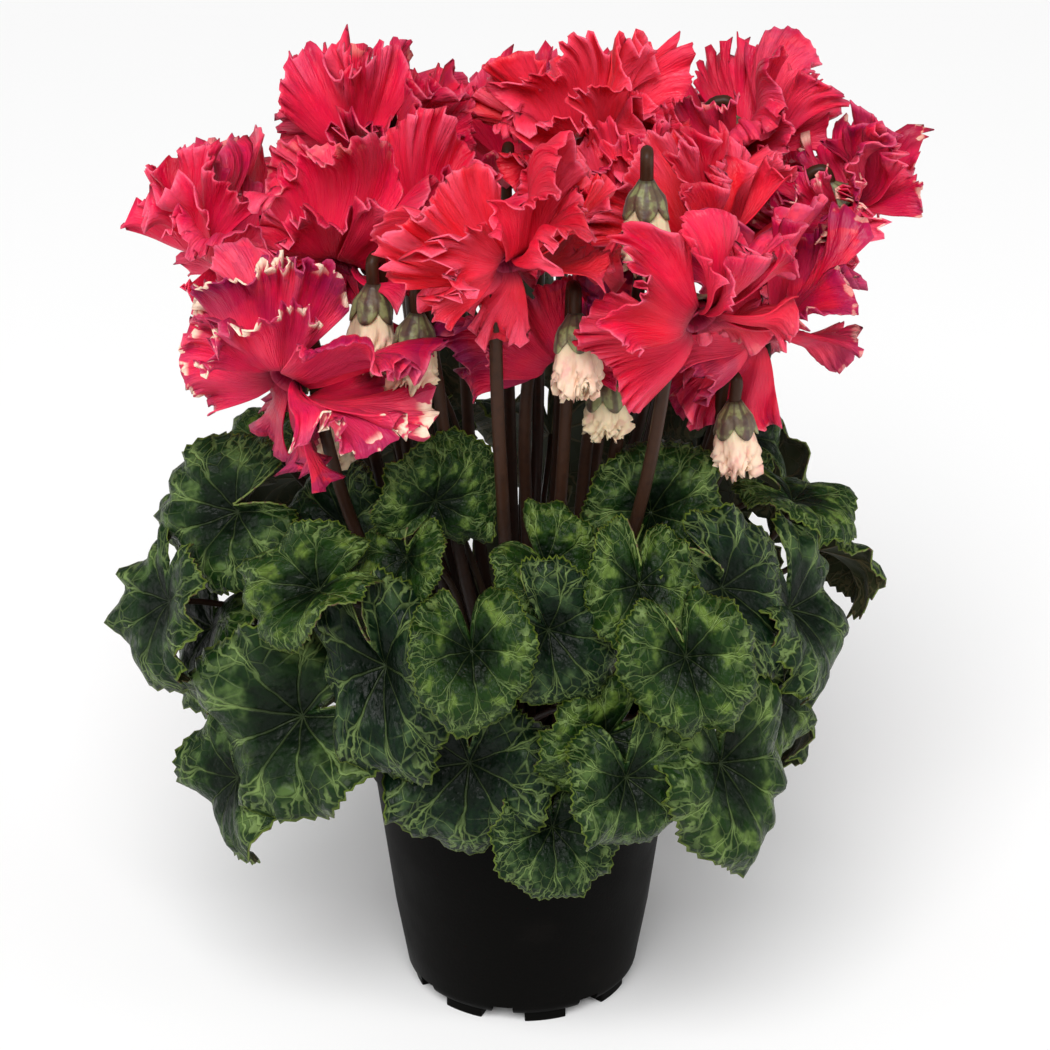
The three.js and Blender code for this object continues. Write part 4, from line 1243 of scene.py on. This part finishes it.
def stalk(flower, seed, material):
    """The stalk that holds a flower or a bud by its neck."""
    mouth, neck = flower_axes(flower)[0], end_of(flower)
    root = place(flower.turn, 4 + 9 * draw(seed + 40), CORM_CENTRE + 6)
    shoulder = neck - HOOK * outward(flower.face) - UP * (HOOK + 2)
    middle = root + 0.68 * (shoulder - root)
    middle[2] = root[2] + 0.5 * (shoulder[2] - root[2])
    hook = neck - (HOOK - 1) * mouth + UP
    knots = [root, middle, shoulder, hook, neck - 1.5 * mouth]
    return stem(knots, STALK_RADII, material, sides=12, steps=12)


print("a stalk hooks over", HOOK, "mm wide")


# %% A calyx
def calyx_shape(flower, start, end, radii, tip):
    """Five sepals in a cup, from start to end along the mouth, with points as long as tip."""
    shares = np.linspace(0, 1, len(radii))

    def shape(u, v):
        turn = math.pi * u
        # 1 along the middle of each sepal, and 0 where two of them meet.
        sepal = np.abs(np.cos(2.5 * turn))
        rib = 0.35 * sepal**6 - 0.5 * (1 - sepal) ** 2
        radius = np.interp(v, shares, radii) + rib * smooth(v, 0.1, 0.5)
        radius += 0.9 * smooth(v, 0.7, 1) * sepal + 0.35 * np.sin(9 * turn + 6 * v) * v
        forward = start + v * (end - start) + v**2 * tip * (sepal - 0.35)
        marks = np.stack([sepal, v, rib], axis=1)
        return cup(flower, turn, radius, forward), {"petal": marks}

    return shape


print("ready to shape calyxes")


# %% The sepals' and the stalks' materials
def sepal_skin():
    paint = Paint("sepals", Roughness=0.5, Sheen_Weight=0.1)
    sepal, share = paint.parts(paint.read("petal"))[:2]
    on_plant = paint.on_plant()
    flecks = paint.noise(on_plant, 300.0, 3.0)
    blotches = paint.noise(on_plant, 170.0, 3.0)
    colour = paint.mix(flecks, rgb(96, 100, 54), rgb(158, 160, 108))
    colour = paint.mix(blotches.smooth(0.45, 0.58, 0.0, 0.8), colour, rgb(78, 48, 42))
    colour = paint.mix(sepal.smooth(0.88, 0.99, 0.0, 0.75), colour, rgb(58, 30, 30))
    colour = paint.mix(sepal.smooth(0.0, 0.35, 0.7, 0.0), colour, rgb(66, 44, 34))
    colour = paint.mix(flecks.smooth(0.54, 0.64, 0.0, 0.5), colour, rgb(84, 50, 46))
    colour = paint.mix(share.smooth(0.0, 0.3, 0.8, 0.0), colour, rgb(44, 24, 16))
    paint.set("Base Color", colour)
    paint.bump(flecks, 0.0005)
    return paint.material


sepals = sepal_skin()
stalk_skin = stem_skin("stalk", rgb(30, 16, 9), rgb(58, 34, 20))
print("materials:", sepals.name, "and", stalk_skin.name)

# %% Growing stalks and calyxes
# Under an open flower the calyx lies behind the neck, and on a bud it holds the furled petals.
OPEN_CALYX = {"start": -6.5, "end": 1.5, "radii": (2.6, 3.6, 5.2, 6.6, 8.6), "tip": 4}
BUD_CALYX = {"start": -3, "end": 8.5, "radii": (2.6, 4.4, 6.8, 7.7, 7.6), "tip": 5}
OPEN_CALYX_GRID, OPEN_SEPAL_THICKNESS = (50, 8), 0.6
BUD_CALYX_GRID, BUD_SEPAL_THICKNESS = (50, 10), 0.7
FIRST_BUD_SEED = 30
stalks, cups = [], []
for row in FLOWERS:
    stalks.append(stalk(row, row.number, stalk_skin))
    shape = calyx_shape(row, **OPEN_CALYX)
    cups.append(sheet(shape, *OPEN_CALYX_GRID, OPEN_SEPAL_THICKNESS, [sepals]))
for number, row in enumerate(BUDS):
    stalks.append(stalk(row, number + FIRST_BUD_SEED, stalk_skin))
    shape = calyx_shape(row, **BUD_CALYX)
    cups.append(sheet(shape, *BUD_CALYX_GRID, BUD_SEPAL_THICKNESS, [sepals]))
print(len(stalks), "stalks and", len(cups), "calyxes")


# %% The corm
def corm_skin():
    paint = Paint("corm_bark", Roughness=0.85)
    on_plant = paint.on_plant()
    scurf = paint.noise(on_plant, 180.0, 5.0)
    paint.set("Base Color", paint.mix(scurf, rgb(58, 38, 26), rgb(118, 88, 62)))
    paint.bump(scurf, 0.0015)
    return paint.material


deselect()
bpy.ops.mesh.primitive_uv_sphere_add(segments=48, ring_count=24, radius=1)
corm = bpy.context.object
ball = points_of(corm)
x, y, z = ball.T
knobs = 1 + 0.03 * np.sin(7 * x + 3 * y) * np.sin(9 * y - 4 * z)
half_size = np.array([CORM_RADIUS, CORM_RADIUS, CORM_HALF_HEIGHT])
move_points(corm, (ball * knobs[:, None] * half_size + UP * CORM_CENTRE) * MM)
corm.data.materials.append(corm_skin())
bpy.ops.object.shade_smooth()
corm_and_stalks = join([corm, *stalks], "fine_corm_and_stalks")
calyxes = join(cups, "fine_calyxes")
for piece, slot in ((corm_and_stalks, "stalk"), (calyxes, "leaf")):
    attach(piece, "root")
    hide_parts("corm_and_stalks")
faces = [len(piece.data.polygons) for piece in (corm_and_stalks, calyxes)]
print("the corm with its stalks has", faces[0], "faces and the calyxes have", faces[1])

# %% [markdown]
# ## The nursery pot
#
# A thin black moulded pot: a tapered wall, a lip a little wider than the wall, a rounded lower
# corner, eight low feet with gaps between them and a drain slot behind each gap. The shell is
# turned from a disc. One foot is a box that is subdivided, bent round the floor and bevelled, and
# the others are turned copies of it. The slots are cut out with a Boolean.

# %% The wall's taper and its plastic
RIM_RADIUS = 70
BASE_RADIUS = 53
LIP_STEP = 1.6
LIP_HEIGHT = 13
POT_HEIGHT = 122
FOOT_HEIGHT = 4
WALL = 1.6
CORNER = 6


def wall_radius(height):
    """The outer radius of the tapered wall, which is a lip's step inside the rim at the top."""
    return BASE_RADIUS + (RIM_RADIUS - LIP_STEP - BASE_RADIUS) * height / POT_HEIGHT


def pot_plastic():
    paint = Paint("pot_plastic", Specular_IOR_Level=0.03)
    on_plant = paint.on_plant()
    height = paint.parts(on_plant)[2]
    grain = paint.noise(on_plant, 900.0, 2.0)
    scuffs = paint.noise(on_plant, 30.0, 5.0)
    colour = paint.mix(scuffs, rgb(5, 5, 4), rgb(9, 8, 7))
    dust = scuffs.smooth(0.55, 0.75, 0.0, 0.12) * height.smooth(0.0, 0.12, 1.0, 0.4)
    paint.set("Base Color", paint.mix(dust, colour, rgb(40, 36, 33)))
    paint.set("Roughness", scuffs.smooth(0.3, 0.7, 0.42, 0.56))
    paint.bump(grain, 0.0001)
    return paint.material


plastic = pot_plastic()
print("the wall tapers from", wall_radius(POT_HEIGHT), "to", wall_radius(0), "mm")

# %% The shell
# The profile starts under the floor, rounds the corner, and goes up the wall, over the lip and
# down the inside.
SHELL_SEGMENTS = 128
lip_foot = POT_HEIGHT - LIP_HEIGHT
low = wall_radius(0)
corner = [
    (low - CORNER * (1 - math.sin(angle)), FOOT_HEIGHT + CORNER * (1 - math.cos(angle)))
    for angle in np.radians([0, 15, 30, 45, 60, 75, 90])
]
profile = corner + [
    (wall_radius(40), 40),
    (wall_radius(lip_foot - 0.6), lip_foot - 0.6),
    (wall_radius(lip_foot) + 0.5, lip_foot),
    (RIM_RADIUS - 0.5, lip_foot + 0.4),
    (RIM_RADIUS, POT_HEIGHT - 1.2),
    (RIM_RADIUS - 0.4, POT_HEIGHT - 0.3),
    (RIM_RADIUS - 1.2, POT_HEIGHT),
    (RIM_RADIUS - 2.6, POT_HEIGHT),
    (RIM_RADIUS - 3.2, POT_HEIGHT - 0.6),
    (wall_radius(lip_foot) - WALL, lip_foot - 2),
    (wall_radius(10) - WALL, 10),
    (low - CORNER, FOOT_HEIGHT + WALL),
]
shell = turned(profile, plastic, SHELL_SEGMENTS)
print("the shell has", len(shell.data.polygons), "faces")

# %% Feet
FOOT_HALF_TURN = 11
FOOT_INSET = 3.4
FOOT_HALF_DEPTH = 3.5
FOOT_HALF_HEIGHT = 2.6
FOOT_BEVEL = 0.5
FIRST_FOOT = 12.5
FOOT_PITCH = 45
deselect()
bpy.ops.mesh.primitive_cube_add(size=2)
foot = bpy.context.object
bpy.ops.object.mode_set(mode="EDIT")
bpy.ops.mesh.select_all(action="SELECT")
bpy.ops.mesh.subdivide(number_cuts=7)
bpy.ops.object.mode_set(mode="OBJECT")
x, y, z = points_of(foot).T
around = np.radians(FOOT_HALF_TURN * x)
reach = low - FOOT_INSET - FOOT_HALF_DEPTH * (1 - y)
bent = [np.sin(around) * reach, -np.cos(around) * reach, FOOT_HALF_HEIGHT * (1 + z)]
move_points(foot, np.stack(bent, axis=1) * MM)
bpy.ops.object.mode_set(mode="EDIT")
bpy.ops.mesh.select_all(action="SELECT")
bpy.ops.mesh.normals_make_consistent(inside=False)
bpy.ops.object.mode_set(mode="OBJECT")
apply_modifier(foot, "BEVEL", width=FOOT_BEVEL * MM, segments=2, limit_method="ANGLE")
foot.data.materials.append(plastic)
print("a foot has", len(foot.data.polygons), "faces")

# %% Eight feet
turns = [FIRST_FOOT + FOOT_PITCH * k for k in range(8)]
feet = [copy_of(foot) for turn in turns]
for piece, turn in zip(feet, turns):
    piece.data.transform(Matrix.Rotation(math.radians(turn), 4, "Z"))
bpy.data.objects.remove(foot)
print(len(feet), "feet, the first at", turns[0], "degrees")

# %% Drain slots
SLOT_SIZE = (10, 12, 12)


def drain_slot(turn):
    """The block that cuts one slot out of the pot's lower corner."""
    deselect()
    middle = place(turn, low - 2, FOOT_HEIGHT - 1) * MM
    bpy.ops.mesh.primitive_cube_add(size=1, location=middle, rotation=(0, 0, math.radians(turn)))
    block = bpy.context.object
    block.scale = [side * MM for side in SLOT_SIZE]
    bpy.ops.object.transform_apply(location=True, rotation=True, scale=True)
    return block


for turn in turns:
    cutter = drain_slot(turn + FOOT_PITCH / 2)
    apply_modifier(shell, "BOOLEAN", operation="DIFFERENCE", object=cutter, solver="EXACT")
    bpy.data.objects.remove(cutter)
print("the shell with its slots has", len(shell.data.polygons), "faces")

# %% The whole pot
SHARP_EDGE = math.radians(32)
pot = join([shell, *feet], "fine_pot")
deselect()
pot.select_set(True)
bpy.ops.object.shade_smooth_by_angle(angle=SHARP_EDGE)
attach(pot, "root")
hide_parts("pot")
print("the pot has", len(pot.data.polygons), "faces")

# %% [markdown]
# ## Soil
#
# Peat-like potting soil, nearly black, with lighter crumbs of bark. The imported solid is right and
# stays, under a rough material. Loose crumbs on top break up its flat surface. One crumb is
# modelled, and each copy of it is stretched in its own way.


# %% Soil material
def soil_mix():
    paint = Paint("soil_mix", Roughness=0.95)
    on_plant = paint.on_plant()
    fine = paint.noise(on_plant, 400.0, 4.0)
    coarse = paint.noise(on_plant, 90.0, 3.0)
    stops = [(0.3, rgb(22, 15, 11)), (0.55, rgb(46, 33, 24)), (0.75, rgb(92, 68, 48))]
    paint.set("Base Color", paint.ramp(fine, stops))
    paint.bump(fine + coarse, 0.002)
    return paint.material


soil = soil_mix()
packed_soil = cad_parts["soil"]
packed_soil.data.materials.clear()
packed_soil.data.materials.append(soil)
print("the packed soil has", len(packed_soil.data.polygons), "faces")

# %% Crumbs
CRUMB_COUNT = 160
NEAREST_CRUMB = 24
CRUMB_SPREAD = 41
deselect()
bpy.ops.mesh.primitive_ico_sphere_add(subdivisions=2, radius=1)
model = bpy.context.object
model.data.materials.append(soil)
lumps = points_of(model)
lumps *= (1 + 0.25 * (draw(np.arange(len(lumps))) - 0.5))[:, None]
crumbs = []
for k in range(CRUMB_COUNT):
    reach = NEAREST_CRUMB + CRUMB_SPREAD * math.sqrt(draw(k + 900))
    stretch = np.array([draw(k + 300) + 0.7, draw(k + 400) + 0.7, draw(k + 500) * 0.5 + 0.5])
    spot = place(360 * draw(k + 700), reach, SOIL_TOP - 0.4 - 0.03 * max(reach - 50, 0))
    crumbs.append(copy_of(model))
    move_points(crumbs[-1], (lumps * stretch * (0.8 + draw(k + 600)) + spot) * MM)
bpy.data.objects.remove(model)
crumbs = join(crumbs, "soil_crumbs")
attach(crumbs, "root")
print("crumbs have", len(crumbs.data.polygons), "faces")

# %% [markdown]
# ## Floor, light and camera
#
# The plant stands on a plain pale floor in soft studio light: a wide soft key from above the
# camera and a little to its left, weaker panels on both sides that line the pot's edges, and an
# even pale room. The camera looks 23 degrees down from a little over a metre away.

# %% Floor
FLOOR_SIZE = 80  # metres, so that its edge stays out of every view
deselect()
bpy.ops.mesh.primitive_plane_add(size=FLOOR_SIZE)
floor = bpy.context.object
floor.name = "floor"
paper = Paint("pale_paper", Roughness=0.9)
paper.set("Base Color", (0.92, 0.92, 0.92, 1))
floor.data.materials.append(paper.material)
print("floor laid")


# %% Light
def panel(name, place_of, aim, size, power):
    """A square soft light that looks at a point."""
    deselect()
    bpy.ops.object.light_add(type="AREA", location=place_of)
    light = bpy.context.object
    light.name = name
    light.data.size = size
    light.data.energy = power
    light.rotation_euler = (Vector(aim) - Vector(place_of)).to_track_quat("-Z", "Y").to_euler()


deselect()
bpy.ops.object.light_add(type="SUN", rotation=(math.radians(45), math.radians(-7), 0))
key = bpy.context.object
key.name = "key"
key.data.energy = 3.4
key.data.angle = math.radians(40)
panel("side_right", (1.5, -0.5, 0.6), aim=(0, 0, 0.2), size=0.8, power=6)
panel("side_left", (-1.5, -0.3, 0.5), aim=(0, 0, 0.15), size=0.8, power=5)
world = bpy.data.worlds.new("pale_room")
bpy.context.scene.world = world
world.use_nodes = True
room = world.node_tree.nodes["Background"].inputs
room["Color"].default_value = (1, 1, 1, 1)
room["Strength"].default_value = 0.28
bpy.context.scene.view_settings.view_transform = "Standard"
print("a key, two panels and a pale room")

# %% Camera
CAMERA_PLACE = (0.0014, -1.105, 0.69)
CAMERA_DIP = math.radians(23)
LENS = 94.87
FARTHEST_SEEN = 200
deselect()
bpy.ops.object.camera_add(location=CAMERA_PLACE, rotation=(math.pi / 2 - CAMERA_DIP, 0, 0))
camera = bpy.context.object
camera.data.sensor_width = 36
camera.data.lens = LENS
camera.data.clip_end = FARTHEST_SEEN
bpy.context.scene.camera = camera
print("camera with a", round(camera.data.lens), "mm lens")

# %% [markdown]
# ## The last measure
#
# The triangles of all the scene's meshes are counted.

# %% Measure and finish
meshes = [item.data for item in bpy.context.scene.objects if item.type == "MESH"]
for mesh in meshes:
    mesh.calc_loop_triangles()
print("the scene has", sum(len(mesh.loop_triangles) for mesh in meshes), "triangles in all")
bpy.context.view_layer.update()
